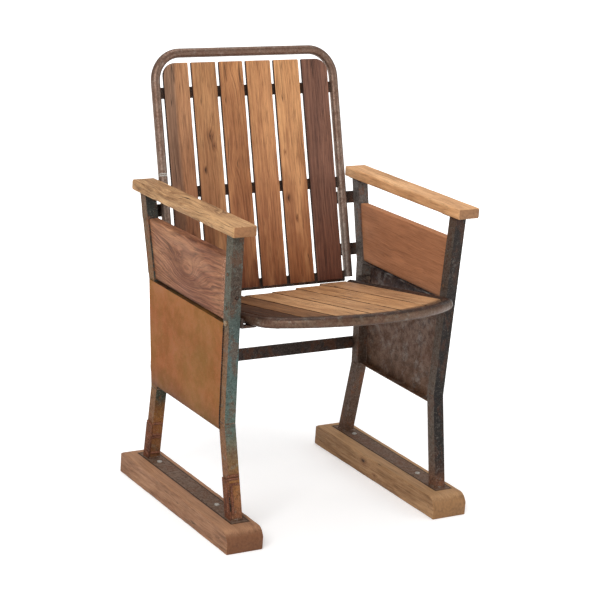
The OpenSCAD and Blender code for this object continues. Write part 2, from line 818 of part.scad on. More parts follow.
module pivot_bracket_bolts() {
    color("silver")
        for (side = [-1, 1]) pivot_bracket_bolt_places(side) {
            rod_y(-hinge_t - face_play, angle_t + face_play + head_h, bolt_d);
            translate([0, -hinge_t - face_play, 0]) rotate([90, 0, 0]) hex_head();
            translate([0, angle_t + face_play, 0]) rotate([-90, 0, 0]) hex_head();
        }
}

// Pivot bolt: a head outside the bracket and a peened end inside the seat tube's loop
module pivot_bolt(side) {
    outer = pivot_leg_x + hinge_t;
    inner = seat_half - seat_r - side_play;
    color("silver")
        translate([0, pivot_y, pivot_z]) mirror([side < 0 ? 1 : 0, 0, 0]) {
            rod_x(inner, outer, pivot_d);
            rod_x(outer, outer + head_h, pivot_d * 1.6);
            rod_x(inner - peen_h + side_play, inner, peen_d);
        }
}

// Stop bracket: one leg on the front upright's inner face, one leg under the seat tube
module stop_bracket(side) {
    up = stop_bolt_up + head_r + stop_edge;
    low = -seat_r - stop_gap - hinge_t;
    reach = stop_leg_x - seat_half + 0.6 * seat_r;
    color("#574a40")
        difference() {
            in_seat() translate([0, -stop_at - stop_w / 2, 0]) mirror([side < 0 ? 1 : 0, 0, 0]) {
                translate([stop_leg_x - hinge_t, 0, low]) cube([hinge_t, stop_w, up - low]);
                translate([stop_leg_x - reach, 0, low]) cube([reach, stop_w, hinge_t]);
            }
            translate([0, stop_bolt_y, stop_bolt_z]) rod_x(-far, far, bolt_d + 2 * hole_play);
        }
}

// Stop bolts: a head on the seat's side and a nut on the angle iron
module stop_bolts() {
    color("silver")
        for (side = [-1, 1]) translate([0, stop_bolt_y, stop_bolt_z]) {
            inner = stop_leg_x - hinge_t;
            outer = side < 0 ? -face_x(-1, stop_bolt_z) + 0.2 : face_x(1, stop_bolt_z) + angle_t + 0.2;
            mirror([side < 0 ? 1 : 0, 0, 0]) {
                rod_x(inner, outer + head_h, bolt_d);
                translate([inner, 0, 0]) rotate([0, -90, 0]) rotate([0, 0, 30]) hex_head();
                translate([outer, 0, 0]) rotate([0, 90, 0]) rotate([0, 0, 30]) hex_head();
            }
        }
}

// Spacer on the left stop bolt, inside the angle iron
module stop_spacer() {
    color("gray")
        translate([0, stop_bolt_y, stop_bolt_z]) difference() {
            rod_x(face_x(-1, stop_bolt_z) + angle_t + 0.3, -stop_leg_x - 0.1, bolt_d + 3);
            rod_x(-far, far, bolt_d + 2 * hole_play);
        }
}

// Right side tube of the seat
module side_tube()
    translate([seat_half, -corner_at, 0]) rotate([-90, 0, 0])
        cylinder(h = corner_at + seat_tail, r = seat_r);

// Left half of the seat loop: the side, the front corner and half of the bowed front.
// The bow is welded to the corner inside a low ring of weld.
module half_seat_loop() {
    bow_turn = 90 - corner_turn - asin(weld_ring_gap / bow_r);
    mirror([1, 0, 0]) side_tube();
    translate([-corner_x, -corner_at, 0]) {
        rotate([0, 0, 180]) rotate_extrude(angle = corner_turn)
            translate([seat_corner_r, 0]) circle(seat_r);
        rotate([0, 0, 180 + corner_turn]) translate([seat_corner_r, 0, 0]) rotate([90, 0, 0])
            cylinder(h = weld_ring_l, r = seat_r + weld_ring_rise, center = true);
    }
    translate([0, -bow_at, 0]) rotate([0, 0, 270]) rotate_extrude(angle = -bow_turn)
        translate([bow_r, 0]) circle(seat_r);
}

module seat_loop() {
    half_seat_loop();
    mirror([1, 0, 0]) half_seat_loop();
}

module seat_tube() {
    color("#4a4540")
        in_seat() difference() {
            seat_loop();
            for (side = [-1, 1]) translate([side * seat_half, seat_tail + 1 - tube_open_l, 0])
                rotate([-90, 0, 0]) cylinder(h = tube_open_l, r = seat_r - tube_wall);
            rod_x(-far, far, pivot_d + 2 * pivot_play);
        }
}

// Rings welded to the outside of the seat tube, which run on the pivot bolts
module pivot_bosses() {
    color("#6a6258")
        in_seat() for (side = [-1, 1]) mirror([side < 0 ? 1 : 0, 0, 0]) difference() {
            rod_x(seat_half, seat_w / 2 + boss_l, boss_d);
            side_tube();
            rod_x(0, far, pivot_d + 2 * pivot_play);
        }
}

// Space inside the seat loop, drawn in by a gap, as an outline seen from above
module loop_inside() {
    inner_corner = seat_corner_r - seat_r - seat_front_gap;
    inner_bow = bow_r - seat_r - seat_front_gap;
    translate([-seat_inside, -corner_at]) square([2 * seat_inside, corner_at + seat_reach]);
    for (side = [-1, 1]) intersection() {
        translate([side * corner_x, -corner_at]) circle(inner_corner);
        translate([-seat_inside, -seat_reach]) square([2 * seat_inside, seat_reach]);
    }
    intersection() {
        translate([0, -bow_at]) circle(inner_bow);
        wedge = far * cos(corner_turn);
        depth = far * sin(corner_turn);
        polygon([[0, -bow_at], [-wedge, -bow_at - depth], [wedge, -bow_at - depth]]);
        translate([-seat_inside, -seat_reach]) square([2 * seat_inside, seat_reach]);
    }
    polygon([[-corner_x, -corner_at], [corner_x, -corner_at], [0, -bow_at]]);
}

// Width and left edge of seat slat i
seat_inside = seat_half - seat_r - seat_side_gap;
seat_fill = fill(seat_slat_widths, seat_slat_gap, 2 * seat_inside);
function seat_slat_w(i) = seat_fill * seat_slat_widths[i];
function seat_slat_x(i) = -seat_inside + seat_fill * sum(seat_slat_widths, i) + i * seat_slat_gap;
seat_bar_front_at = corner_at - seat_bar_w / 2 - bar_corner_gap;
function seat_bar_ats() = [seat_bar_front_at, seat_bar_mid_at, seat_bar_rear_at];

// Screws hold each seat slat to the three bars from below
module seat_screw_places(i)
    for (at = seat_bar_ats())
        translate([seat_slat_x(i) + seat_slat_w(i) / 2, -at, deck_low - seat_bar_t]) children();

// Seat slat: its front end is cut to the curve of the seat tube
module seat_slat(i) {
    w = seat_slat_w(i);
    l = seat_reach + seat_slat_tails[i];
    tints = ["#5a4238", "#a9825f", "#c49a72", "#c9a57e", "#caa886", "#c7a27a"];
    color(tints[i])
        in_seat() difference() {
            intersection() {
                translate([seat_slat_x(i), seat_slat_tails[i], deck_low]) rotate([90, 0, 0])
                    linear_extrude(l) round_rect(w, seat_slat_t, slat_edge_r);
                translate([0, 0, deck_low]) linear_extrude(seat_slat_t) loop_inside();
            }
            seat_screw_places(i) rod_up(0, seat_bar_t + screw_bite + 1, screw_d + 2 * hole_play);
        }
}

// Bar under the seat, between the side tubes and welded to them
module seat_bar(at) {
    color("#57504a")
        in_seat() difference() {
            translate([-seat_half, -at - seat_bar_w / 2, deck_low - seat_bar_t])
                cube([2 * seat_half, seat_bar_w, seat_bar_t]);
            side_tube();
            mirror([1, 0, 0]) side_tube();
            for (i = [0 : 5]) seat_screw_places(i) rod_up(-1, seat_bar_t + 1, screw_d + 2 * hole_play);
        }
}

module seat_slat_screws() {
    color("silver")
        in_seat() for (i = [0 : 5]) seat_screw_places(i) {
            rod_up(0, seat_bar_t + screw_bite, screw_d);
            mirror([0, 0, 1]) screw_head(screw_head_d, screw_head_h);
        }
}

on_origin() skid(-1);  // skid_left
on_origin() skid(1);  // skid_right
on_origin() foot_bar(-1);  // foot_bar_left
on_origin() foot_bar(1);  // foot_bar_right
on_origin() foot_screws();
on_origin() front_upright(-1);  // front_upright_left
on_origin() front_upright(1);  // front_upright_right
on_origin() rear_upright(-1);  // rear_upright_left
on_origin() rear_upright(1);  // rear_upright_right
on_origin() foot_doublers();
on_origin() side_board(-1);  // side_board_left
on_origin() side_board(1);  // side_board_right
on_origin() board_screws();
on_origin() side_sheet_left();
on_origin() side_sheet_right();
on_origin() armrest(-1);  // armrest_left
on_origin() armrest(1);  // armrest_right
on_origin() arm_tabs();
on_origin() arm_screws();
on_origin() rear_crossbar();
on_origin() crossbar_cleats();
on_origin() back_tube();
on_origin() back_bar(bar_low_at);  // back_bar_lower
on_origin() back_bar(bar_mid_at);  // back_bar_middle
on_origin() back_bar(bar_top_at);  // back_bar_upper
for (i = [0 : 5]) {
    on_origin() back_slat(i);
}
on_origin() back_slat_screws();
on_origin() back_bracket(-1, bracket_low_at);  // back_bracket_lower_left
on_origin() back_bracket(1, bracket_low_at);  // back_bracket_lower_right
on_origin() back_bracket(-1, bracket_top_at);  // back_bracket_upper_left
on_origin() back_bracket(1, bracket_top_at);  // back_bracket_upper_right
on_origin() back_bracket_bolts();
on_origin() pivot_bracket(-1);  // pivot_bracket_left
on_origin() pivot_bracket(1);  // pivot_bracket_right
on_origin() pivot_bracket_bolts();
on_origin() pivot_bolt(-1);  // pivot_bolt_left
on_origin() pivot_bolt(1);  // pivot_bolt_right
on_origin() stop_bracket(-1);  // stop_bracket_left
on_origin() stop_bracket(1);  // stop_bracket_right
on_origin() stop_bolts();
on_origin() stop_spacer();
on_origin() seat_tube();
on_origin() pivot_bosses();
on_origin() seat_bar(seat_bar_front_at);  // seat_bar_front
on_origin() seat_bar(seat_bar_mid_at);  // seat_bar_middle
on_origin() seat_bar(seat_bar_rear_at);  // seat_bar_rear
for (i = [0 : 5]) {
    on_origin() seat_slat(i);
}
on_origin() seat_slat_screws();
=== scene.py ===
"""A slatted tip-up chair on wooden skids: worn wood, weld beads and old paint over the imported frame."""
import math

import bpy
import numpy as np
from mathutils import Matrix


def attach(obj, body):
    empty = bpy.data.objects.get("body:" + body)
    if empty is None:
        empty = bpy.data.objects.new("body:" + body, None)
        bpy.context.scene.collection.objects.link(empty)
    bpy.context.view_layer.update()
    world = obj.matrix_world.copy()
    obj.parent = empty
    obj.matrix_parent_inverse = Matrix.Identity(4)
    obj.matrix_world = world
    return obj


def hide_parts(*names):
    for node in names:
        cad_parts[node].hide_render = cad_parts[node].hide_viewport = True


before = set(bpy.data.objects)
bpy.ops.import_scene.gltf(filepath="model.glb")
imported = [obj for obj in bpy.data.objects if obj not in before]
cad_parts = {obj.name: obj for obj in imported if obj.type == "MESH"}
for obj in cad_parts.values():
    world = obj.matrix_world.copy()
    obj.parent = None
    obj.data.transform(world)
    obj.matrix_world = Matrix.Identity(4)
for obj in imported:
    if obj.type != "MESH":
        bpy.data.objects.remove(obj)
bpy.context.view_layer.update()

# Sizes and places in the chair's own measures, millimetres and degrees: SHIFT puts its origin under its box
SHIFT = np.array([1.89, -19.456, 0.0])
LEAN, RAKE, SEAT_TILT, ARM_FALL = 1.6, 16.3, 9.76, 1.03
PIVOT = np.array([0.0, 139.93, 408.26])
BACK_AT = np.array([-4.5, 180.0, 400.0])
ARM_AT = np.array([0.0, -175.0, 660.0])

# Uprights: their place at the foot and their width, and the heights of the knees, rear bend and top
FOOT_X, FOOT_Z, ANGLE = 237.5, 47.0, 25.0
FRONT_KNEE, REAR_KNEE, REAR_BEND, UPRIGHT_TOP = 240, 215, 450, 660

# Wooden pieces: the skid, the armrest, the side board with the notch round its stop bolt, the back slats
SKID_HALF, SKID_HIGH = 244.5, 47.0
ARM_LONG, ARM_HALF, ARM_THICK, ARM_CORNER = 450.0, 27.3, 22.6, 4.0
BOARD_LOW, BOARD_TOP, BOARD_FALL = 453.8, 586.0, 8.0
NOTCH_Y, NOTCH_Z = -130.9, 457.4
BACK_LOW, BACK_TOP, BACK_CORNER = 15.6, 508.7, 30.0

# Seat slats: their faces and worn nose, the bowed front's circle and its end, the corner's circle, and where
# their grain starts
SEAT_UNDER, SEAT_TOP, NOSE = -6.0, 9.0, 7.0
BOW_Y, BOW_R, BOW_END = -115.0, 308.0, 195.0
CORNER_X, CORNER_Y, CORNER_R = 171.0, -323.95, 38.0
SEAT_GRAIN_Y, SEAT_GRAIN_Z = 140, 408

# Section points of a plank: on each rounded corner, along its wide sides and along its thin ones
ARC_POINTS, WIDE_POINTS, THIN_POINTS = 6, 26, 5

# Weld beads: sides of the tube, length of a step and distance from swell to swell
BEAD_SIDES, BEAD_STEP, BEAD_PITCH = 8, 1.4, 4.5

UP, TO_LEFT = (0, 0, 1), (-1, 0, 0)


# Frames of the chair

def turned(p, degrees, at):
    """Points turned about X by minus the angle a, then moved: y' = y cos a + z sin a and
    z' = z cos a - y sin a."""
    a = math.radians(degrees)
    x, y, z = p[..., 0], p[..., 1], p[..., 2]
    return np.stack([x, y * math.cos(a) + z * math.sin(a), z * math.cos(a) - y * math.sin(a)], -1) + at


def in_back(p):
    """The back's frame: x across, y to the rear, z up along the slats."""
    return turned(p, RAKE, BACK_AT)


def in_seat(p):
    """The seat's frame: the pivot is the origin and the front lies towards -y."""
    return turned(p, SEAT_TILT, PIVOT)


def in_arms(p):
    """The armrests' frame: the origin is on their top at the front end, y runs to the rear."""
    return turned(p, ARM_FALL, ARM_AT)


def in_end(side):
    """The frame of an end frame, leaning outwards: x = 0 on the left-hand face of its angle irons, and x and
    the height over the foot are turned about Y by the lean."""
    a = math.radians(side * LEAN)
    x0 = -FOOT_X - ANGLE if side < 0 else FOOT_X

    def place(p):
        x, y, z = p[..., 0], p[..., 1], p[..., 2] - FOOT_Z
        across = x0 + x * math.cos(a) + z * math.sin(a)
        return np.stack([across, y, FOOT_Z + z * math.cos(a) - x * math.sin(a)], -1)
    return place


def as_is(p):
    """Points that already are in the chair's measures."""
    return p


def front_y(z):
    """Front face of the front uprights: straight lines between foot, knee and armrest."""
    return np.interp(z, [FOOT_Z, FRONT_KNEE, UPRIGHT_TOP], [-190, -146, -154])


def rear_y(z):
    """Front face of the rear uprights: straight lines between foot, knee, bend and armrest."""
    return np.interp(z, [FOOT_Z, REAR_KNEE, REAR_BEND, UPRIGHT_TOP], [183, 157, 179, 240.4])


def metres(p):
    """The chair's measures as metres of the shared frame: moved by the shift, over a thousand."""
    return (p + SHIFT) / 1000.0


# Meshes

def waves(p, seed, size):
    """Smooth seeded unevenness from 0 to 1: the mean of seven sines in seeded directions and phases."""
    rng = np.random.default_rng(seed)
    total = np.zeros(p.shape[:-1])
    for _ in range(7):
        d = rng.normal(size=3)
        d *= 2 * math.pi / (size * rng.uniform(0.6, 1.8) * np.linalg.norm(d))
        total += np.sin(p @ d + rng.uniform(0, 6.28))
    return 0.5 + total / 14.0


def build(name, verts, faces, body, mat):
    """Smooth mesh object from points in the chair's measures and a list of faces, riding on a body."""
    mesh = bpy.data.meshes.new(name)
    mesh.from_pydata(metres(verts).tolist(), [], faces)
    mesh.polygons.foreach_set("use_smooth", np.full(len(mesh.polygons), True))
    mesh.materials.append(mat)
    mesh.update()
    obj = bpy.data.objects.new(name, mesh)
    bpy.context.scene.collection.objects.link(obj)
    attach(obj, body)
    return obj


def ring_faces(rows, n, start=0):
    """Quads of a tube of rings with n points each, and one flat face at each end, pointing outwards."""
    i, j = np.meshgrid(np.arange(rows - 1), np.arange(n), indexing="ij")
    k = (j + 1) % n
    quads = np.stack([i * n + j, i * n + k, (i + 1) * n + k, (i + 1) * n + j], -1).reshape(-1, 4) + start
    last = start + (rows - 1) * n
    return quads.tolist() + [list(range(start + n - 1, start - 1, -1)), list(range(last, last + n))]


def section(across, thick, r):
    """Round-cornered section as (corner-circle middles, unit directions) on one loop, anticlockwise: each
    corner is a quarter circle, and a side's points lie evenly between the middles of two corners."""
    mid, out = [], []
    a, b = across / 2 - r, thick / 2 - r
    corners = [(a, -b, -90), (a, b, 0), (-a, b, 90), (-a, -b, 180)]
    for c, (x, y, turn) in enumerate(corners):
        t = np.radians(turn + np.linspace(0, 90, ARC_POINTS))
        mid += [np.tile([x, y], (ARC_POINTS, 1))]
        out += [np.stack([np.cos(t), np.sin(t)], -1)]
        nx, ny, _ = corners[(c + 1) % 4]
        s = np.linspace(0, 1, (WIDE_POINTS if c % 2 else THIN_POINTS) + 2)[1:-1, None]
        mid += [np.array([[x, y]]) * (1 - s) + np.array([[nx, ny]]) * s]
        out += [np.tile([math.cos(t[-1]), math.sin(t[-1])], (len(s), 1))]
    return np.concatenate(mid), np.concatenate(out)


def plank(name, x, y, low, high, r, place, body, mat, nodes, lying=True, seed=1, sag=0.35, nick=0.9,
          rows=46, end_r=None, trim=None):
    """A worn plank. Its section is a round-cornered rectangle from x[0] to x[1] and y[0] to y[1], carried
    from low(x) to high(x) along z. Each end is eased by drawing the section in along a quarter circle of
    end_r. Seeded waves 160 mm long take up to `sag` off the faces, and waves of 34 mm more off the long
    edges, by `nick`, so it never grows past its drawn size. A lying plank has its y as the height and its z
    to the rear."""
    end_r = end_r or r
    least = 0.12
    mid, out = section(x[1] - x[0], y[1] - y[0], r)
    mid = mid + [(x[0] + x[1]) / 2, (y[0] + y[1]) / 2]
    s = end_r * (1 - np.cos(np.linspace(least, 1, 6) * math.pi / 2))
    inset = end_r - np.sqrt(np.maximum(end_r ** 2 - (end_r - s) ** 2, 0))
    share = np.linspace(0, 1, rows)[1:-1]
    d = np.concatenate([inset, np.zeros(len(share)), inset[::-1]])[:, None]
    radius = np.maximum(r - d, least * r)[..., None]
    drawn_in = np.maximum(d - (1 - least) * r, 0)[..., None]
    outline = mid[None] + out[None] * radius - np.sign(out[None]) * drawn_in
    lo, hi = low(outline[..., 0]), high(outline[..., 0])
    f = np.concatenate([np.zeros(len(s)), share, np.ones(len(s))])[:, None]
    z = (lo + end_r) * (1 - f) + (hi - end_r) * f
    z[:len(s)] = lo[:len(s)] + s[:, None]
    z[-len(s):] = hi[-len(s):] - s[::-1, None]
    p = np.concatenate([outline, z[..., None]], -1)
    corner = (np.abs(out[:, 0] * out[:, 1]) * 2)[None]
    low_wave = waves(p, seed, 160)
    edge = np.clip(waves(p, seed + 50, 34) - 0.52, 0, 1) * 3.0
    off = sag * low_wave + corner * nick * edge
    p[..., :2] -= out[None] * off[..., None]
    if trim is not None:
        p = trim(p)
    if lying:
        p = p[:, ::-1][..., [0, 2, 1]]
    obj = build(name, place(p.reshape(-1, 3)), ring_faces(p.shape[0], p.shape[1]), body, mat)
    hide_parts(*nodes)


def bead_rings(path, r, seed):
    """A weld bead along a path: a tube whose radius swells and falls with a sine every few millimetres, is
    a little uneven and closes at both ends."""
    path = np.asarray(path, float)
    seg = np.linalg.norm(np.diff(path, axis=0), axis=1)
    length = np.concatenate([[0], np.cumsum(seg)])
    n = max(6, int(length[-1] / BEAD_STEP))
    s = np.linspace(0, length[-1], n)
    mid = np.stack([np.interp(s, length, path[:, k]) for k in range(3)], -1)
    ahead = np.gradient(mid, axis=0)
    ahead /= np.linalg.norm(ahead, axis=1)[:, None]
    side = np.cross(ahead, [0.31, 0.22, 0.93])
    side /= np.linalg.norm(side, axis=1)[:, None]
    up = np.cross(side, ahead)
    rng = np.random.default_rng(seed)
    swell = np.abs(np.sin(math.pi * s / BEAD_PITCH + rng.uniform(0, 3)))
    size = r * (0.78 + 0.3 * swell + 0.12 * rng.uniform(-1, 1, n))
    size *= np.clip(np.minimum(s, s[::-1]) / (1.2 * r) + 0.25, 0, 1)
    t = np.linspace(0, 2 * math.pi, BEAD_SIDES + 1)[:-1, None]
    around = np.cos(t) * side[:, None] + np.sin(t) * up[:, None]
    return mid[:, None] + size[:, None, None] * around


def beads(name, paths, r, body, mat, seed):
    """Several weld beads as one piece, each seeded one on from the last."""
    verts, faces, start = [], [], 0
    for k, path in enumerate(paths):
        rings = bead_rings(path, r, seed + k)
        faces += ring_faces(rings.shape[0], BEAD_SIDES, start)
        verts.append(rings.reshape(-1, 3))
        start += rings.shape[0] * BEAD_SIDES
    build(name, np.concatenate(verts), faces, body, mat)


# Material nodes

def linear(colour, times=1.0):
    """A colour of 0 to 255 on the screen's scale, times a share, as the linear values for a shader."""
    c = np.minimum(np.array(colour, float) * times, 255.0) / 255.0
    c = np.where(c <= 0.04045, c / 12.92, ((c + 0.055) / 1.055) ** 2.4)
    return (float(c[0]), float(c[1]), float(c[2]), 1.0)


class Nodes:
    """A node tree under construction: each call adds one node, or a few, and gives back an output."""

    def __init__(self, tree):
        self.tree = tree

    def feed(self, socket, value):
        """Links an output to a socket, or sets a plain value on it."""
        if isinstance(value, bpy.types.NodeSocket):
            self.tree.links.new(value, socket)
        elif value is not None:
            socket.default_value = value

    def fill(self, node, values):
        """Feeds inputs of a node, given by name or number."""
        for key, value in values.items():
            self.feed(node.inputs[key], value)

    def mapped(self, point, at=(0, 0, 0), turn=(0, 0, 0), scale=(1, 1, 1), kind="POINT"):
        """A point scaled, turned and moved, or with the kind TEXTURE the same undone."""
        n = self.tree.nodes.new("ShaderNodeMapping")
        n.vector_type = kind
        self.fill(n, {"Vector": point, "Location": at, "Rotation": turn, "Scale": scale})
        return n.outputs["Vector"]

    def noise(self, point, scale, detail=3.0, rough=0.55, distort=0.0):
        """Smooth noise from 0 to 1 at a point."""
        n = self.tree.nodes.new("ShaderNodeTexNoise")
        self.fill(n, {"Vector": point, "Scale": scale, "Detail": detail, "Roughness": rough,
                      "Distortion": distort})
        return n.outputs["Fac"]

    def calc(self, op, a, b=None, c=None):
        """Arithmetic on up to three numbers."""
        n = self.tree.nodes.new("ShaderNodeMath")
        n.operation = op
        self.fill(n, {0: a, 1: b, 2: c})
        return n.outputs[0]

    def times(self, a, b):
        """A number times another."""
        return self.calc("MULTIPLY", a, b)

    def length(self, point):
        """A point's distance from the origin."""
        n = self.tree.nodes.new("ShaderNodeVectorMath")
        n.operation = "LENGTH"
        self.feed(n.inputs[0], point)
        return n.outputs["Value"]

    def split(self, point):
        """The three numbers of a point."""
        n = self.tree.nodes.new("ShaderNodeSeparateXYZ")
        self.feed(n.inputs[0], point)
        return n.outputs[0], n.outputs[1], n.outputs[2]

    def join(self, x, y, z):
        """A point from three numbers."""
        n = self.tree.nodes.new("ShaderNodeCombineXYZ")
        self.fill(n, {0: x, 1: y, 2: z})
        return n.outputs[0]

    def pressed(self, x, y, z, across, along):
        """A point with y and z pressed to shares of themselves, which stretches a noise along them."""
        return self.join(x, self.times(y, across), self.times(z, along))

    def span(self, value, a, b, lo=0.0, hi=1.0):
        """A value's way from a to b, as lo to hi, held at both ends."""
        n = self.tree.nodes.new("ShaderNodeMapRange")
        self.fill(n, {"Value": value, "From Min": a, "From Max": b, "To Min": lo, "To Max": hi})
        return n.outputs["Result"]

    def over(self, value, limit, soft, most):
        """How far a value is over a limit: 0 to `most` across a soft edge."""
        return self.span(value, limit - soft / 2, limit + soft / 2, 0.0, most)

    def nudged(self, value, noise, amount):
        """A value plus an amount times the noise's distance from 0.5."""
        return self.calc("MULTIPLY_ADD", self.calc("SUBTRACT", noise, 0.5), amount, value)

    def ramp(self, value, stops):
        """A colour for each height of a value, with straight blends between the stops."""
        n = self.tree.nodes.new("ShaderNodeValToRGB")
        while len(n.color_ramp.elements) < len(stops):
            n.color_ramp.elements.new(0.5)
        for e, (at, colour) in zip(n.color_ramp.elements, stops):
            e.position, e.color = at, linear(colour)
        self.feed(n.inputs[0], value)
        return n.outputs["Color"]

    def mix(self, factor, a, b, mode="MIX"):
        """A blend of two colours by a factor from 0 to 1. Its colour sockets are the numbers 6, 7 and 2."""
        n = self.tree.nodes.new("ShaderNodeMix")
        n.data_type, n.blend_type, n.clamp_factor = "RGBA", mode, True
        self.fill(n, {"Factor": factor, 6: a, 7: b})
        return n.outputs[2]

    def tint(self, factor, colour, by):
        """A colour that is multiplied by another where the factor is 1."""
        return self.mix(factor, colour, self.mix(1.0, colour, linear(by), "MULTIPLY"))

    def bump(self, height, depth, strength):
        """A normal that leans with a height, where 1 stands `depth` metres high."""
        n = self.tree.nodes.new("ShaderNodeBump")
        self.fill(n, {"Strength": strength, "Distance": depth, "Height": height})
        return n.outputs["Normal"]


class Finish(Nodes):
    """A material under construction, on Object coordinates."""

    def __init__(self, name, metal=0.0, specular=0.22):
        self.mat = bpy.data.materials.new(name)
        self.mat.use_nodes = True
        super().__init__(self.mat.node_tree)
        self.shader = self.tree.nodes["Principled BSDF"].inputs
        self.shader["Metallic"].default_value = metal
        self.shader["Specular IOR Level"].default_value = specular
        coords = self.tree.nodes.new("ShaderNodeTexCoord")
        self.object, self.normal = coords.outputs["Object"], coords.outputs["Normal"]

    def facing(self, way, lo, hi, most=1.0, both=False):
        """How far the surface looks along a direction, or also against it: the normal's share along it,
        from lo to hi, as 0 to `most`."""
        n = self.tree.nodes.new("ShaderNodeVectorMath")
        n.operation = "DOT_PRODUCT"
        self.fill(n, {0: self.normal, 1: way})
        dot = n.outputs["Value"]
        return self.span(self.calc("ABSOLUTE", dot) if both else dot, lo, hi, 0.0, most)

    def done(self, colour, rough, normal):
        """Feeds the shader and gives back the material."""
        for key, value in (("Base Color", colour), ("Roughness", rough), ("Normal", normal)):
            self.feed(self.shader[key], value)
        return self.mat


# Wood

def bent_round(f, g, x, y, z, knots, bend):
    """Bends the rings' measure g round each knot (x, z, radius): it grows by radius over `bend`, times the
    share r^2 / (d^2 + r^2) at the distance d, which counts half along z. A negative radius only bends the
    rings, and a fourth value, y, makes the knot round in all directions. Gives g, the halo and the core."""
    halo, core = None, None
    for at_x, at_z, size, *deep in knots:
        r = abs(size) / 1000
        dx, dz = f.calc("SUBTRACT", x, at_x / 1000), f.calc("SUBTRACT", z, at_z / 1000)
        dy = f.calc("SUBTRACT", y, deep[0] / 1000) if deep else 0.0
        away = f.length(f.join(dx, dy, f.times(dz, 0.5)))
        pull = f.calc("DIVIDE", r ** 2, f.calc("ADD", f.calc("POWER", away, 2.0), r ** 2))
        g = f.calc("MULTIPLY_ADD", pull, abs(size) / bend, g)
        if size > 0:
            near, inside = f.span(away, 1.6 * r, r / 3), f.span(away, r / 3.6, r / 6.5)
            halo = near if halo is None else f.calc("MAXIMUM", halo, near)
            core = inside if core is None else f.calc("MAXIMUM", core, inside)
    return g, halo, core


def with_painted_light_round_bar(f, colour, x, z, bar_footprint, dark, light):
    """Painted light and shade on a top with a steel bar lying on it: faces that look up are lightened, and a
    dark line of about 3 mm round the rectangle (x, z, half width, half length) of the bar is painted shade:
    where the greater of the two distances past its edges is small."""
    at_x, at_z, half_w, half_l = [v / 1000 for v in bar_footprint]
    past_x = f.calc("SUBTRACT", f.calc("ABSOLUTE", f.calc("SUBTRACT", x, at_x)), half_w)
    past_z = f.calc("SUBTRACT", f.calc("ABSOLUTE", f.calc("SUBTRACT", z, at_z)), half_l)
    top = f.facing(UP, 0.7, 0.9)
    colour = f.mix(f.times(top, 0.25), colour, linear(light, 1.12))
    bar_shade_line = f.times(f.span(f.calc("MAXIMUM", past_x, past_z), 0.0045, 0.0018), top)
    return f.mix(bar_shade_line, colour, linear(dark, 0.3))


def with_rim(f, colour, local, x, z, rim, dark):
    """Darkens the wood near and past a circle (x, z, radius), with a ragged edge 6 to 16 mm inside it."""
    at_x, at_z, r = [v / 1000 for v in rim]
    away = f.length(f.join(f.calc("SUBTRACT", x, at_x), 0.0, f.calc("SUBTRACT", z, at_z)))
    ragged = f.nudged(away, f.noise(local, 150.0, 5.0, 0.7), 0.022)
    return f.mix(f.span(ragged, r - 0.016, r - 0.006, 0.0, 0.85), colour, linear(dark, 0.5))


def with_splinter(f, colour, local, z, splinter):
    """Torn wood on the face to the left: from none at splinter[0] along z to all at splinter[1], ragged."""
    start, end = [v / 1000 for v in splinter]
    near = f.span(f.calc("MULTIPLY_ADD", f.noise(local, 130.0, 5.0, 0.7), 0.03, z), start, end)
    torn = f.ramp(f.noise(local, 330.0, 4.0), [(0.38, (62, 40, 32)), (0.5, (150, 96, 66)),
                                               (0.6, (206, 164, 138))])
    return f.mix(f.times(near, f.facing(TO_LEFT, 0.5, 0.8)), colour, torn)


def with_end_grain(f, colour, x, y, tilt, end):
    """Colours the faces that look along the plank: rings are a sine of the distance from a heart that lies
    30 mm below the middle."""
    a = math.radians(-tilt)
    rings = f.calc("SINE", f.times(f.length(f.join(x, f.calc("ADD", y, 0.03), 0.0)), 900.0))
    blots = f.noise(f.join(x, y, 0.0), 140.0, 4.0)
    cut = f.mix(f.span(rings, -1, 1, 0.0, 0.12), linear(end), linear(end, 0.6))
    cut = f.mix(f.span(blots, 0.45, 0.7, 0.0, 0.4), cut, linear(end, 0.6))
    return f.mix(f.facing((0, math.sin(a), math.cos(a)), 0.6, 0.85, both=True), colour, cut)


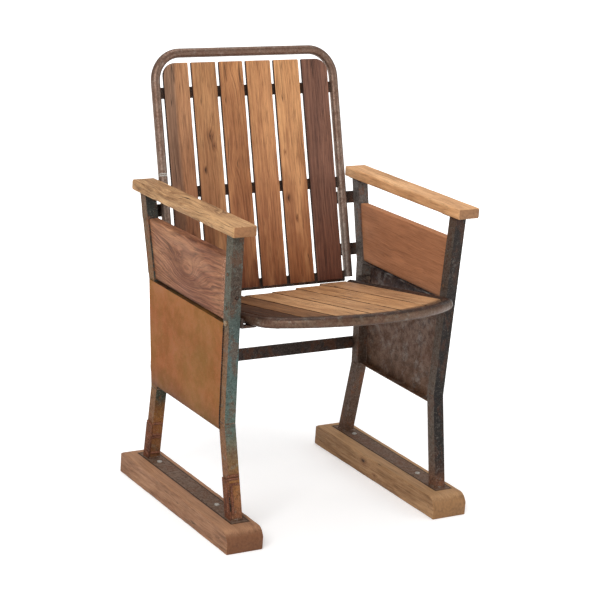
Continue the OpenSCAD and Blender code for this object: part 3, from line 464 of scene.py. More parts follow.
def wood(name, dark, mid, light, tilt, at, knots=(), seed=0.0, rough=0.6, on_edge=False, figure=0.011,
         rings=0.35, swirl=1.0, bend=650.0, plain=0.0, cracks=0.7, stain=0.5, tones=None, span=0.45,
         halves=None, end=None, shaded_flank=None, bar_footprint=None, rim=None, painted_top_light=None, splinter=None):
    """Old worn wood in three colours. Local coordinates run x across, y through and z along the plank,
    whose frame stands at `at` and is turned about X by `tilt`. `on_edge` swaps x and y for a plank on edge.

    Growth rings are a sine of x with a period of `figure`, as strong as `rings`, bent by slow noise times
    `swirl` and round the knots. Bands, fibre, pores and long cracks are noise stretched along z. `plain`
    evens out the bands and `stain` darkens patches. `tones` are tints along z from 0 to `span`, and `halves`
    is a tint for all left of an x. `shaded_flank` is a painted shade, with some dirt, on the faces that look
    along X,
    `painted_top_light` a painted highlight on those that look up, and `end` colours the ends. The functions
    above tell of `knots`, `bar_footprint`, `rim` and `splinter`."""
    f = Finish(name)
    origin = tuple(metres(np.array(at, float)))
    local = f.mapped(f.object, origin, (math.radians(tilt), 0, 0), kind="TEXTURE")
    x, y, z = f.split(local)
    if on_edge:
        x, y = f.times(y, -1.0), x
    flow = f.pressed(x, y, z, 1.0, 0.22)
    slow = f.noise(f.mapped(flow, at=(seed, seed, 0)), 18.0)
    g, halo, core = bent_round(f, f.nudged(x, slow, 0.035 * swirl), x, y, z, knots, bend)
    wander = f.noise(f.pressed(g, y, z, 0.5, 0.12), 55.0, 2.0)
    phase = f.calc("MULTIPLY_ADD", g, 2 * math.pi / figure, f.times(wander, 14.0))
    ring = f.calc("POWER", f.span(f.calc("SINE", phase), -1.0, 1.0), 2.2)
    bands = f.noise(f.pressed(g, y, z, 0.6, 0.03), 290.0, 5.0, 0.65)
    fibre = f.noise(f.pressed(g, y, z, 1.0, 0.03), 780.0, 4.0, 0.6)
    colour = f.ramp(bands, [(0.34, dark), (0.5, mid), (0.64, light)])
    if plain:
        colour = f.mix(plain, colour, linear(mid))
    colour = f.mix(f.times(ring, rings), colour, linear(dark, 0.8))
    if tones:
        along = f.span(f.nudged(z, slow, 0.05), 0.0, span)
        colour = f.mix(1.0, colour, f.ramp(along, tones), "MULTIPLY")
    if halves:
        edge, by = halves
        left_of = f.span(f.nudged(x, slow, 0.012), edge / 1000 + 0.004, edge / 1000 - 0.004)
        colour = f.tint(left_of, colour, by)
    colour = f.tint(f.span(fibre, 0.42, 0.68, 0.0, 0.5 - 0.3 * plain), colour, (150, 138, 130))
    patches = f.noise(f.mapped(flow, at=(seed * 3, 0, 1)), 30.0, 6.0, 0.7)
    colour = f.tint(f.span(patches, 0.5, 0.72, 0.0, stain), colour, (138, 118, 108))
    glow = f.noise(f.mapped(flow, at=(0, seed, 2)), 26.0, 4.0)
    colour = f.mix(f.span(glow, 0.5, 0.75, 0.0, 0.5), colour, linear(light, 1.1))
    pits = f.span(f.noise(f.pressed(x, y, z, 1.0, 0.05), 620.0), 0.58, 0.66, 0.0, 0.6 - 0.55 * plain)
    colour = f.mix(pits, colour, linear(dark, 0.55))
    grain = f.noise(f.pressed(f.calc("MULTIPLY_ADD", wander, 0.01, g), y, z, 1.0, 0.05), 75.0, 1.0)
    crack = f.span(f.calc("ABSOLUTE", f.calc("SUBTRACT", grain, 0.5)), 0.014, 0.004)
    here = f.span(f.noise(f.mapped(flow, at=(5, seed, 3)), 24.0, 2.0), 0.54, 0.60)
    crack = f.times(f.times(crack, here), cracks)
    if halo is not None:
        colour = f.tint(f.times(halo, 0.55), colour, (150, 112, 98))
        colour = f.mix(f.times(core, 0.8), colour, linear(dark, 0.38))
        crack = f.calc("MAXIMUM", crack, f.times(f.times(halo, f.span(ring, 0.7, 0.95)), 0.7))
    colour = f.mix(crack, colour, linear(dark, 0.34))
    # Painted shade, with some dirt, on the faces that look along X: the slats' sides in the gaps
    if shaded_flank:
        stripes = f.mix(f.span(bands, 0.4, 0.6), linear(shaded_flank), linear(shaded_flank, 0.6))
        colour = f.mix(f.facing((1, 0, 0), 0.72, 0.9, both=True), colour, stripes)
    # Painted highlight on the faces that look up and painted shade round the steel bar lying on the top
    if bar_footprint:
        colour = with_painted_light_round_bar(f, colour, x, z, bar_footprint, dark, light)
    # Painted highlight on the faces that look up
    if painted_top_light:
        colour = f.mix(f.facing(UP, 0.6, 0.85, 0.7), colour, linear(painted_top_light))
    if rim:
        colour = with_rim(f, colour, local, x, z, rim, dark)
    if splinter:
        colour = with_splinter(f, colour, local, z, splinter)
    if end:
        colour = with_end_grain(f, colour, x, y, tilt, end)
    height = f.calc("ADD", f.times(bands, 0.6), f.times(fibre, 0.4))
    height = f.calc("SUBTRACT", height, f.calc("MULTIPLY_ADD", crack, 1.2, f.times(pits, 0.5)))
    return f.done(colour, f.span(patches, 0.3, 0.8, rough - 0.1, rough + 0.2), f.bump(height, 0.0008, 0.8))


# Steel

def steel(name, heights, spots, spot_amount=0.5, scale=26.0, rough=0.6, metal=0.0, low=0.0, high=0.92,
          worn=None, worn_amount=0.0, side=None, side_colours=None, stretch=(1, 1, 0.55), grain=0.0005,
          mottle=0.6, grit=0.5, soft=0.07):
    """Old painted steel. Its colour follows the height from `low` to `high` metres through `heights`, with
    an uneven edge from noise. Worn metal and rust spots are noises over a limit with a `soft` edge, dark
    mottling lies between them and fine grit over them. Faces that look along `side` take `side_colours`."""
    f = Finish(name, metal)
    z = f.split(f.object)[2]
    blots = f.noise(f.mapped(f.object, scale=stretch), scale, 6.0, 0.7, 0.3)
    fine = f.noise(f.object, scale * 5, 6.0, 0.75)
    up = f.span(f.nudged(z, blots, 0.10 * (high - low)), low, high)
    colour = f.ramp(up, heights)
    if side is not None:
        colour = f.mix(f.facing(side, 0.6, 0.8), colour, f.ramp(up, side_colours))
    if worn:
        pale = f.noise(f.mapped(f.object, at=(3, 1, 2)), scale * 2.0, 6.0, 0.72)
        colour = f.mix(f.over(pale, 0.595, soft, worn_amount), colour, linear(worn))
    colour = f.tint(f.span(fine, 0.46, 0.60, 0.0, mottle), colour, (136, 130, 126))
    rust = f.over(f.calc("MULTIPLY_ADD", fine, 0.5, blots), 0.795, soft, spot_amount)
    colour = f.mix(rust, colour, linear(spots))
    dots = f.noise(f.object, 430.0, 3.0, 0.6)
    colour = f.tint(f.span(dots, 0.56, 0.66, 0.0, grit), colour, (104, 92, 86))
    dust = f.mix(0.35, colour, linear((206, 196, 182)))
    colour = f.mix(f.span(dots, 0.42, 0.34, 0.0, grit * 0.8), colour, dust)
    height = f.calc("ADD", f.times(fine, 0.7), f.times(dots, 0.4))
    return f.done(colour, f.span(fine, 0.3, 0.7, rough - 0.12, rough + 0.18), f.bump(height, grain, 0.9))


def even(low, high=None):
    """Two stops, for one colour from floor to top or a blend between two."""
    return [(0.05, low), (1.0, high or low)]


# Finishes of the uprights: their stops are shares of 0.92 m
RUST = (122, 72, 40)
patina = steel(
    "patina_steel", [(0.05, (132, 84, 58)), (0.13, (146, 96, 50)), (0.175, (124, 92, 54)),
                     (0.24, (84, 98, 88)), (0.42, (78, 97, 94)), (0.5, (76, 84, 78)), (0.56, (74, 60, 50)),
                     (0.68, (80, 74, 64))],
    (104, 66, 44), 0.4, scale=34.0, worn=(106, 118, 112), worn_amount=0.4, side=TO_LEFT,
    side_colours=[(0.05, (128, 82, 52)), (0.3, (130, 92, 58)), (0.46, (118, 86, 58)), (0.5, (82, 84, 72)),
                  (0.68, (86, 80, 66))])
black = steel(
    "black_steel", [(0.05, (116, 74, 48)), (0.085, (60, 40, 30)), (0.12, (31, 24, 20)), (0.25, (26, 21, 19)),
                    (0.4, (32, 26, 23)), (0.6, (40, 32, 28)), (0.7, (32, 26, 24))],
    (88, 56, 40), 0.4, scale=34.0, worn=(96, 90, 84), worn_amount=0.5, side=TO_LEFT,
    side_colours=[(0.05, (112, 76, 54)), (0.12, (94, 82, 72)), (0.46, (102, 90, 80)), (0.52, (84, 72, 64)),
                  (0.68, (86, 78, 70))])
rusty = steel(
    "rusty_steel", [(0.05, (118, 76, 46)), (0.15, (136, 88, 40)), (0.185, (112, 74, 34)),
                    (0.205, (54, 54, 38)), (0.45, (60, 66, 60)), (0.68, (46, 46, 42))],
    RUST, 0.6, scale=30.0, worn=(84, 92, 82), worn_amount=0.35, side=TO_LEFT,
    side_colours=[(0.05, (120, 80, 52)), (0.25, (124, 84, 44)), (0.5, (122, 88, 52)), (0.68, (104, 82, 62))])
grey = steel(
    "grey_steel", [(0.05, (96, 70, 54)), (0.3, (98, 80, 68)), (0.5, (98, 90, 84)), (0.68, (96, 90, 86))],
    RUST, 0.45, scale=34.0, worn=(116, 108, 100), worn_amount=0.45)

# Finishes of the side sheets, whose stops run from their lower to their upper edge
sheet_rust = steel(
    "rusty_sheet", [(0.0, (96, 56, 28)), (0.06, (126, 74, 32)), (0.25, (146, 80, 26)), (0.7, (148, 80, 27)),
                    (1.0, (152, 90, 34))],
    (116, 94, 38), 0.45, scale=4.0, worn=(150, 94, 36), worn_amount=0.7, rough=0.58, low=0.222, high=0.45,
    # Its faces that look up, the top edge just under the board, take a painted shade
    stretch=(1, 1, 1), grain=0.0002, mottle=0.2, grit=0.12, soft=0.26, side=UP,
    side_colours=even((52, 34, 24)))
sheet_dark = steel(
    "dark_sheet", [(0.0, (112, 82, 60)), (0.4, (134, 110, 96)), (0.74, (138, 114, 100)),
                   (0.86, (66, 52, 50)), (1.0, (48, 38, 38))],
    (112, 78, 58), scale=11.0, worn=(170, 166, 162), worn_amount=0.6, low=0.22, high=0.45,
    stretch=(1, 1, 1), mottle=0.7, soft=0.16)

# Finishes of the left feet, the flat bars and the two bent tubes
lump = steel("rust_lump_steel", [(0.05, (128, 80, 58)), (0.2, (134, 84, 58))], (84, 48, 36), 0.7, scale=90.0,
             rough=0.7)
patch = steel("rust_patch", [(0.05, (116, 68, 44)), (0.2, (120, 76, 46))], (78, 44, 30), 0.9, scale=46.0,
              rough=0.75, grain=0.001)
bars = steel(
    "bar_steel", [(0.05, (112, 88, 72)), (0.2, (66, 56, 52)), (0.4, (66, 54, 48)), (1.0, (64, 48, 40))],
    (104, 66, 44), worn=(100, 88, 78), worn_amount=0.3)
back_tube = steel(
    "back_tube_steel", [(0.4, (118, 112, 108)), (0.62, (134, 116, 104)), (0.86, (126, 102, 88)),
                        (0.95, (116, 92, 78))],
    (92, 58, 42), 0.45, worn=(160, 148, 138), worn_amount=0.4, scale=40.0, mottle=0.35, grit=0.14, rough=0.4,
    metal=0.6, soft=0.12)
seat_tube = steel(
    "seat_tube_steel", [(0.4, (78, 56, 42)), (0.48, (90, 68, 54)), (0.55, (106, 84, 68))], (84, 52, 38),
    worn=(132, 124, 114), worn_amount=0.5, scale=30.0, rough=0.42, metal=0.5, grit=0.22, mottle=0.45,
    # Its faces that look up are dark: partly rust, partly painted shade of the gap along the slats' front
    # ends
    soft=0.12, side=UP, side_colours=even((62, 47, 40)))

# Finishes of the screws, bolts and welds
screw = steel("screw_steel", even((176, 172, 164), (150, 142, 132)), (112, 84, 62), 0.4, 120.0, rough=0.42)
old_screw = steel("old_screw_steel", [(0.3, (88, 74, 58)), (1.0, (76, 60, 48))], (118, 76, 50), 0.6, 120.0)
stop_bolt = steel("stop_bolt_steel", even((150, 128, 100)), (110, 74, 50), 0.5, 120.0, rough=0.5)
bright = steel("bright_weld_steel", even((196, 194, 188)), (120, 104, 92), 0.5, 120.0, rough=0.4)
# Near black: a painted shade for the slits and the old hole
painted_shade = steel("painted_shade_steel", even((40, 27, 21)), (66, 42, 30), 0.5, 90.0, rough=0.8)
bolt = steel("bolt_steel", even((104, 92, 82), (92, 76, 62)), (106, 70, 48), 0.5, 90.0, rough=0.5)
weld = steel("weld_steel", even((98, 68, 48), (86, 70, 58)), (150, 142, 132), 0.35, 90.0, rough=0.5)

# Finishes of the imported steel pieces: by their own name, or else by the first of these words in it
OWN_FINISH = {
    "front_upright_left": patina, "front_upright_right": black, "rear_upright_left": rusty,
    "rear_upright_right": grey, "side_sheet_left": sheet_rust, "side_sheet_right": sheet_dark,
    "foot_doublers": patch, "back_tube": back_tube, "seat_tube": seat_tube, "pivot_bosses": seat_tube,
    "board_screws": old_screw, "arm_screws": old_screw, "stop_bolts": stop_bolt,
}
WORD_FINISH = [("screws", screw), ("bolt", bolt), ("spacer", bolt)]
WORD_FINISH += [(word, bars) for word in ("foot_bar", "crossbar", "cleats", "tabs", "back_bar", "seat_bar",
                                          "bracket")]
for node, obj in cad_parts.items():
    kinds = [mat for word, mat in WORD_FINISH if word in node]
    kinds = [OWN_FINISH[node]] if node in OWN_FINISH else kinds
    if kinds:
        obj.data.materials.clear()
        obj.data.materials.append(kinds[0])


# Ends and trims of the planks

def flat(value):
    """The same end for each x."""
    return lambda x: np.full_like(x, float(value))


def skid_trim(p):
    """Rounds the skid's top edges at its ends: the top is held under a circle of 28 mm at the front and
    10 mm at the rear, by the height of the circle at that distance from the end."""
    y, z = p[..., 2], p[..., 1]
    for end, r in ((-SKID_HALF, 28.0), (SKID_HALF, 10.0)):
        s = np.clip(np.abs(y - end), 0, r)
        top = SKID_HIGH - r + np.sqrt(np.maximum(r * r - (r - s) ** 2, 0))
        z = np.minimum(z, np.where(np.abs(y - end) < r, top, SKID_HIGH))
    return np.stack([p[..., 0], np.maximum(z, 0.0), y], -1)


def arm_end(mid, far):
    """The near or far end of an armrest: straight, with corners of 4 mm seen from above, cut by the
    distance of a quarter circle from its tangent."""
    def end(x):
        s = np.clip(ARM_CORNER - (ARM_HALF - np.abs(x - mid)), 0, ARM_CORNER)
        cut = ARM_CORNER - np.sqrt(np.maximum(ARM_CORNER ** 2 - s * s, 0))
        return ARM_LONG - cut if far else cut
    return end


def board_trim(p):
    """Fits the plank between the uprights: its own height h and share t of the length give y and z, where
    the front and rear follow the uprights, the top falls by 8 mm to the rear and the low front corner is
    cut out round the stop bolt."""
    h = np.clip((p[..., 1] - BOARD_LOW) / (BOARD_TOP - BOARD_LOW), 0, 1)
    t = p[..., 2]
    z = BOARD_LOW + h * (BOARD_TOP - BOARD_FALL * t - BOARD_LOW)
    y = (front_y(z) + 4.0) * (1 - t) + rear_y(z) * t
    z = np.where(y < NOTCH_Y, np.maximum(z, NOTCH_Z), z)
    return np.stack([p[..., 0], z, y], -1)


def slat_top(x0, x1, outer):
    """Upper end of a back slat: level, or with a round corner at its outer side, -1 for left and 1 for
    right, by the height of a circle at that distance from the side."""
    def top(x):
        s = np.clip(BACK_CORNER - (x - x0 if outer < 0 else x1 - x), 0, BACK_CORNER)
        return BACK_TOP - BACK_CORNER + np.sqrt(np.maximum(BACK_CORNER ** 2 - s * s, 0))
    return top if outer else flat(BACK_TOP)


def seat_front(x):
    """Front ends of the seat slats: the bowed front's circle, and outside it the corner's circle. The bow's
    x is held inside its radius, where its root is real."""
    a = np.abs(x)
    bow = BOW_Y - np.sqrt(BOW_R ** 2 - np.minimum(a, BOW_R - 8) ** 2)
    corner = CORNER_Y - np.sqrt(np.maximum(CORNER_R ** 2 - (a - CORNER_X) ** 2, 0))
    return np.where(a < BOW_END, bow, corner)


def seat_nose(p):
    """Wears the slats' front ends round: near the front end, the top is held under a quarter circle, by the
    height of the circle at that distance."""
    s = np.clip(NOSE - (p[..., 2] - seat_front(p[..., 0])), 0, NOSE)
    top = SEAT_TOP - NOSE + np.sqrt(np.maximum(NOSE ** 2 - s * s, 0))
    return np.stack([p[..., 0], np.minimum(p[..., 1], top), p[..., 2]], -1)


# Skids: side, left and right edge, seed of the wear, look of the wood
SKIDS = [
    ("left", -301.5, -217.5, 15,
     dict(dark=(122, 84, 60), mid=(158, 114, 84), light=(176, 134, 102), end=(121, 79, 53), seed=1.0)),
    ("right", 198.5, 282.5, 16,
     dict(dark=(130, 94, 62), mid=(166, 126, 88), light=(186, 148, 108), end=(152, 112, 74), seed=2.3,
          knots=((-42, 280, 9, -31), (-42, 232, 4, -15)))),
]
for side, x0, x1, seed, look in SKIDS:
    # The foot bar's footprint on the skid's top: a painted highlight on the top and painted shade round the
    # bar
    mat = wood("skid_wood_" + side, tilt=-90, at=((x0 + x1) / 2, -244, 0), figure=0.016, rings=0.25,
               stain=0.4, plain=0.3, bar_footprint=(9.5, 253.5, 19, 211), **look)
    plank("worn_skid_" + side, (x0, x1), (0, SKID_HIGH), flat(-SKID_HALF), flat(SKID_HALF), 2.2, as_is,
          "frame", mat, ["skid_" + side], seed=seed, trim=skid_trim, rows=90, nick=1.2,
          end_r=2.0)

# Armrests: side, left and right edge, middle of the grain, seed of the wear, look of the wood
ARMRESTS = [
    ("left", -291.1, -236.5, -264, 25,
     dict(dark=(148, 106, 68), mid=(188, 144, 101), light=(210, 168, 120), end=(158, 112, 76), seed=3.1,
          cracks=1.0, figure=0.009, swirl=1.4, knots=((6, 95, -16), (-10, 300, -14)), bend=800.0)),
    ("right", 243.1, 297.7, 270, 26,
     dict(dark=(182, 132, 88), mid=(218, 166, 118), light=(232, 186, 136), end=(160, 118, 84), seed=4.4,
          rings=0.15, plain=0.4, cracks=0.4)),
]
for side, x0, x1, grain_x, seed, look in ARMRESTS:
    mat = wood("arm_wood_" + side, tilt=-90 - ARM_FALL, at=(grain_x, -175, 648), **look)
    mid = (x0 + x1) / 2
    plank("worn_armrest_" + side, (x0, x1), (-ARM_THICK, 0), arm_end(mid, False), arm_end(mid, True), 3.6,
          in_arms, "frame", mat, ["armrest_" + side], seed=seed, rows=60, nick=1.4)

# Side boards: side, its word, look of the wood. Across a plank on edge is up, so their lower edge is darker:
# a painted shade of the slit over the side sheet.
BOARDS = [
    (-1, "left",
     dict(dark=(126, 86, 66), mid=(168, 120, 90), light=(190, 142, 106), knots=((54, 185, -31),), bend=420.0,
          swirl=1.3, figure=0.009, rings=0.5, splinter=(56, 26), stain=0.45, cracks=0.35, seed=5.2,
          span=0.34, tones=[(0.0, (255, 246, 238)), (0.25, (230, 212, 208)), (0.6, (224, 206, 206)),
                            (0.82, (255, 246, 240))])),
    # The right board's top edge takes a painted highlight
    (1, "right",
     dict(dark=(142, 97, 68), mid=(174, 120, 86), light=(190, 134, 97), swirl=0.8, rings=0.06, cracks=0.2,
          stain=0.12, plain=0.6, painted_top_light=(216, 154, 108), seed=6.6)),
]
for side, word, look in BOARDS:
    mat = wood("board_wood_" + word, tilt=-90, at=(side * 250, -142, 457), on_edge=True,
               halves=(-1, (90, 74, 66)), **look)
    plank("worn_board_" + word, (4, 26), (BOARD_LOW, BOARD_TOP), flat(0), flat(1), 2.2, in_end(side),
          "frame", mat, ["side_board_" + word], seed=31 + side, trim=board_trim,
          end_r=0.004, rows=60)

# Back slats: left and right edge, dark, middle and light colour, what else is each one's own
TONES = [(0.0, (150, 122, 114)), (0.06, (184, 162, 156)), (0.3, (210, 196, 198)), (0.42, (222, 212, 212)),
         (0.62, (238, 234, 236)), (1.0, (252, 252, 252))]
LAST_TONES = [(0.0, (208, 186, 180)), (0.06, (240, 228, 224)), (0.35, (246, 242, 240)),
              (1.0, (252, 252, 252))]
BACK_SLATS = [
    (-206, -145, (146, 100, 68), (186, 134, 94), (204, 152, 108),
     dict(knots=((12, 120, 5),), halves=(-4, (200, 210, 232)))),
    (-137.5, -77.5, (150, 102, 66), (184, 132, 88), (198, 148, 102),
     dict(knots=((2, 334, 7), (10, 312, 5), (-16, 261, 4)))),
    (-70, -11, (144, 92, 60), (184, 126, 82), (202, 146, 98),
     dict(knots=((0, 478, -16), (-12, 270, -12)), bend=1000.0)),
    (-3.5, 58.5, (168, 112, 74), (206, 148, 100), (222, 164, 112), {}),
    (66, 130, (172, 118, 78), (214, 156, 105), (230, 174, 120),
     dict(knots=((-20, 290, 3), (-21, 189, 5), (-2, 143, 4)))),
    (137.5, 203.5, (86, 56, 46), (122, 84, 68), (140, 98, 78), dict(tones=LAST_TONES)),
]
# The slats' sides in the gaps take a painted shade with some dirt
BACK_LOOK = dict(span=0.5, tones=TONES, swirl=0.45, rings=0.22, stain=0.35, shaded_flank=(70, 46, 36), plain=0.25)
for i, (x0, x1, dark, mid, light, own) in enumerate(BACK_SLATS):
    number, centre = i + 1, (x0 + x1) / 2 + BACK_AT[0]
    outer = {1: -1, len(BACK_SLATS): 1}.get(number, 0)
    mat = wood("back_slat_wood_%d" % number, dark, mid, light, -RAKE, (centre, 184.4, 415.0),
               seed=7.0 + 1.7 * i, **{**BACK_LOOK, **own})
    plank("worn_back_slat_%d" % number, (x0, x1), (-9, 0), flat(BACK_LOW), slat_top(x0, x1, outer), 2.6,
          in_back, "frame", mat, ["back_slat_%d" % number], lying=False,
          seed=41 + i, nick=1.0)

# Seat slats: left and right edge, rear end, dark, middle and light colour. The bow's heart, measured along
# the grain, tells the finish where the worn rim lies.
SEAT_SLATS = [
    (-206.5, -155.0, -26, (42, 24, 14), (70, 42, 24), (96, 60, 33)),
    (-150.0, -94.6, -26, (100, 68, 42), (132, 92, 60), (152, 110, 74)),
    (-89.6, -19.3, -26, (160, 112, 74), (194, 146, 102), (212, 166, 120)),
    (-14.3, 54.0, -14, (162, 114, 76), (194, 146, 102), (210, 164, 118)),
    (59.0, 132.2, 10, (162, 112, 72), (196, 146, 100), (214, 166, 118)),
    (137.2, 206.5, 37, (160, 114, 76), (194, 146, 104), (208, 164, 120)),
]
tilt = math.radians(SEAT_TILT)
along_grain = np.array([0, math.cos(tilt), -math.sin(tilt)])
bow_heart = in_seat(np.array([0.0, BOW_Y, SEAT_TOP])) - (0, SEAT_GRAIN_Y, SEAT_GRAIN_Z)
for i, (x0, x1, rear, dark, mid, light) in enumerate(SEAT_SLATS):
    number, centre = i + 1, (x0 + x1) / 2
    # Their front ends are darker, partly end grain and partly painted shade, and their sides take a painted
    # shade
    mat = wood("seat_slat_wood_%d" % number, dark, mid, light, -90 - SEAT_TILT,
               (centre, SEAT_GRAIN_Y, SEAT_GRAIN_Z), seed=21.0 + 1.3 * i, rough=0.5, swirl=0.6, rings=0.3,
               cracks=0.9, end=[c * 0.6 for c in mid], shaded_flank=(58, 38, 28),
               rim=(-centre, float(bow_heart @ along_grain), BOW_R))
    plank("worn_seat_slat_%d" % number, (x0, x1), (SEAT_UNDER, SEAT_TOP), seat_front, flat(rear), 1.8,
          in_seat, "seat", mat, ["seat_slat_%d" % number], seed=61 + i,
          trim=seat_nose, nick=0.8, sag=0.25, rows=70)


# Welds

def line(place, *points):
    """A path through points of a frame."""
    return place(np.array(points, float))


left = in_end(-1)

# Across the knees: on the left uprights' front faces, and on the left-hand face of all four
knees = []
for side in (-1, 1):
    for z, face in ((FRONT_KNEE, front_y), (REAR_KNEE, rear_y)):
        y = face(z)
        if side < 0:
            knees.append(line(left, (1, y + 0.5, z), (24, y + 0.5, z)))
        knees.append(line(in_end(side), (0.4, y + 2, z), (0.4, y + 23, z + 1)))
beads("knee_welds", knees, 1.5, "frame", weld, 5)

# Round the outside and the inside of each foot, just over the bar
FOOT_WELD = 48
feet = []
for side in (-1, 1):
    for face in (front_y, rear_y):
        y = face(FOOT_WELD)
        for inner in (0, 4.5):
            feet.append(line(in_end(side), (inner, y + ANGLE, FOOT_WELD), (inner, y + inner, FOOT_WELD),
                             (ANGLE, y + inner, FOOT_WELD)))
beads("foot_welds", feet, 2.4, "frame", weld, 25)

# Along the top and the front edge of the doublers on the left feet
DOUBLER_TOP = 127
doublers = [line(left, (-2.2, y + 1, DOUBLER_TOP), (-2.2, y + 24, DOUBLER_TOP))
            for y in (front_y(DOUBLER_TOP), rear_y(DOUBLER_TOP))]
doublers += [line(left, (-1.4, face(50), 50), (-1.0, face(90), 90), (-1.4, face(126), 126))
             for face in (front_y, rear_y)]
beads("doubler_welds", doublers, 2.0, "frame", patch, 45)

# Lumps on the left feet: bands round the rear one, then two lines up the front one and bands at its top
lumps = []
for z, outside in ((60, 0), (98, 1), (104, 0), (131, 1)):
    y = rear_y(z)
    lumps.append(line(left, (-1.5 * outside, y - 0.6, z), (8, y - 0.8, z + 1), (24, y - 0.4, z - 1)))
    lumps.append(line(left, (-1.6, y + 1, z - 4), (-2.0, y + 12, z), (-1.6, y + 24, z + 2)))
low_y, high_y = front_y(58), front_y(120)
lumps.append(line(left, (-2.2, low_y + 7, 58), (-2.4, high_y + 7, 122)))
lumps.append(line(left, (4.4, low_y - 0.2, 58), (4.4, high_y - 0.2, 122)))
for z in (119, 130, 136):
    y = front_y(z)
    lumps.append(line(left, (-2.0, y + 5, z - 2), (1, y - 0.6, z), (8, y - 0.9, z + 1), (24, y - 0.4, z)))
beads("foot_lumps", lumps, 2.8, "frame", lump, 105)

# Painted shade as dark slits at the left: on the front foot's edge, and between the front upright and the
# side sheet
slits = [line(left, (-1.5, low_y + 0.2, 66), (-1.5, front_y(112) + 0.2, 112)),
         line(left, *[(-0.6, front_y(z) + 21.0, z) for z in (226, 240, 300, 380, 448)])]
beads("painted_shade_slits", slits, 1.7, "frame", painted_shade, 125)

# The ring of an old hole in the left front upright, dark as a painted shade, and a mended spot round the
# back tube's left leg
HOLE_X, HOLE_Z, HOLE_R = 15, 507, 3.4
LEG_X, LEG_R = -222, 10.2
turns = np.radians(np.linspace(0, 360, 17))
hole_y = front_y(HOLE_Z) - 0.2
ring = [line(left, *[(HOLE_X + HOLE_R * math.cos(a), hole_y, HOLE_Z + HOLE_R * math.sin(a)) for a in turns])]
beads("old_hole_ring", ring, 0.9, "frame", painted_shade, 135)
wraps = [line(in_back, *[(LEG_X - LEG_R * math.cos(a), -LEG_R * math.sin(a), z)
                         for a in np.radians([10, 40, 70, 100, 130])]) for z in (270, 274)]
beads("leg_repair", wraps, 1.7, "frame", bright, 145)

# At the crossbar's ends
cross = [line(as_is, (x, 186.0, 251), (x, 188.0, 273)) for x in (-267.2, 246.3)]
beads("crossbar_welds", cross, 1.8, "frame", weld, 55)

# Where the back's flat bars and the brackets meet the back tube's legs
bar_ends = [line(in_back, (s * 212.1, 1.5, z - 11), (s * 212.1, 1.5, z + 11))
            for s in (-1, 1) for z in (22, 232.3, 445.4)]
bar_ends += [line(in_back, (s * 216.5, 9.0, z - 12), (s * 216.5, 9.0, z + 12))
             for s in (-1, 1) for z in (80.7, 197.5)]
beads("back_bar_welds", bar_ends, 1.9, "frame", weld, 65)

# Where the seat's flat bars meet its tube, and at the tube's front corners
CORNER_TURN = math.radians(50.7)
seat_ends = [line(in_seat, (s * 215.4, -at - 10, -10.4), (s * 215.4, -at + 10, -10.4))
             for s in (-1, 1) for at in (311, 200, 45)]
seat_ends += [line(in_seat, *[(s * (CORNER_X + r * math.cos(CORNER_TURN)),
                               CORNER_Y - r * math.sin(CORNER_TURN), z) for r, z in ((49, 10.6), (44, 9.4))])
              for s in (-1, 1)]
beads("seat_bar_welds", seat_ends, 1.7, "seat", weld, 85)


# Floor, light and camera

def floor_finish():
    """Matt and pale, with a glow that only the camera, mirrors and glass see: 0.34 within half a metre of
    the origin and rising in a straight line to 0.9 at 1.6 metres."""
    f = Finish("studio_floor", specular=0.1)
    f.fill(f.tree.nodes["Principled BSDF"], {"Base Color": (0.85, 0.85, 0.85, 1), "Roughness": 0.9,
                                             "Emission Color": (1, 1, 1, 1)})
    ray = f.tree.nodes.new("ShaderNodeLightPath").outputs
    seen = f.calc("MAXIMUM", ray["Is Camera Ray"], ray["Is Glossy Ray"])
    seen = f.calc("MAXIMUM", seen, ray["Is Transmission Ray"])
    f.feed(f.shader["Emission Strength"], f.times(seen, f.span(f.length(f.object), 0.5, 1.6, 0.34, 0.9)))
    return f.mat


def placed(x, y, z, at):
    """The matrix that turns an object's axes to x, y and z and moves it to a place."""
    return Matrix([[x[k], y[k], z[k], at[k]] for k in range(3)] + [[0, 0, 0, 1]])


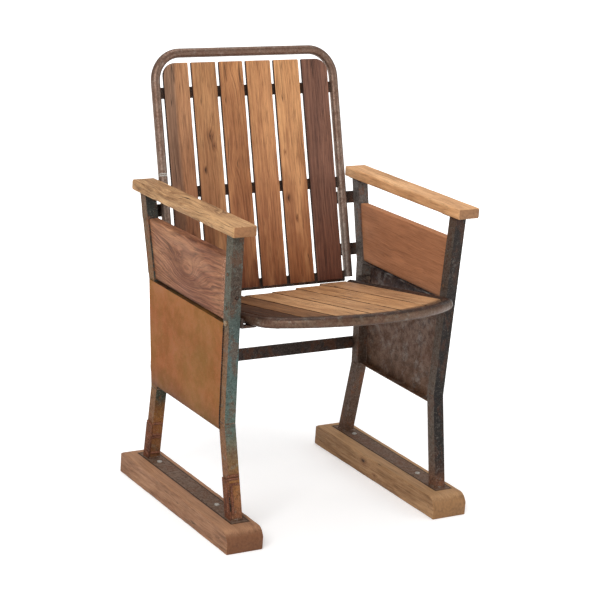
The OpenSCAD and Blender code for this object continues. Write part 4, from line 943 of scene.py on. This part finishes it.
def lamp(name, at, target, size, watts):
    """A square soft lamp at a place, looking at a target along its -z: its x is level, across that way."""
    data = bpy.data.lights.new(name, "AREA")
    data.size, data.energy = size, watts
    obj = bpy.data.objects.new(name, data)
    look = np.array(at, float) - np.array(target, float)
    look /= np.linalg.norm(look)
    across = np.cross(UP, look)
    across /= np.linalg.norm(across)
    obj.matrix_world = placed(across, np.cross(look, across), look, at)
    bpy.context.scene.collection.objects.link(obj)


floor_mesh = bpy.data.meshes.new("studio_floor")
floor_mesh.from_pydata([(-30, -30, 0), (30, -30, 0), (30, 30, 0), (-30, 30, 0)], [], [(0, 1, 2, 3)])
floor_mesh.materials.append(floor_finish())
floor = bpy.data.objects.new("studio_floor", floor_mesh)
bpy.context.scene.collection.objects.link(floor)

# The surroundings: white to the camera and through glass, and dimmer to all else
world = bpy.data.worlds.new("studio")
bpy.context.scene.world = world
world.use_nodes = True
sky = Nodes(world.node_tree)
ray = sky.tree.nodes.new("ShaderNodeLightPath").outputs
seen = sky.calc("MAXIMUM", ray["Is Camera Ray"], ray["Is Transmission Ray"])
sky.fill(sky.tree.nodes["Background"], {"Color": (1, 1, 1, 1), "Strength": sky.span(seen, 0, 1, 0.55, 1.0)})

lamp("key", (-2.6, -2.2, 2.8), (0, 0, 0.45), 2.0, 95)
lamp("fill", (2.8, -2.4, 1.6), (0, 0, 0.4), 2.2, 28)
lamp("top", (0.3, 0.8, 3.2), (0, 0, 0.4), 2.0, 35)

# The photograph's camera: where it stands, where it looks, its azimuth and its roll
CAMERA_AT = (-2.15331, -3.462456, 1.6233)
ahead = np.array([0.50589, 0.81563, -0.28075])
ahead /= np.linalg.norm(ahead)
azimuth, roll = math.radians(31.8), math.radians(-4.1)
level = np.array([math.cos(azimuth), -math.sin(azimuth), 0.0])
down = -np.cross(level, ahead)
right = math.cos(roll) * level + math.sin(roll) * down
top = math.sin(roll) * level - math.cos(roll) * down
camera_data = bpy.data.cameras.new("photo_view")
camera_data.lens, camera_data.sensor_width, camera_data.sensor_fit = 120.1, 36.0, "HORIZONTAL"
camera = bpy.data.objects.new("photo_view", camera_data)
camera.matrix_world = placed(right, top, -ahead, CAMERA_AT)
bpy.context.scene.collection.objects.link(camera)
bpy.context.scene.camera = camera
bpy.context.scene.view_settings.view_transform = "Standard"
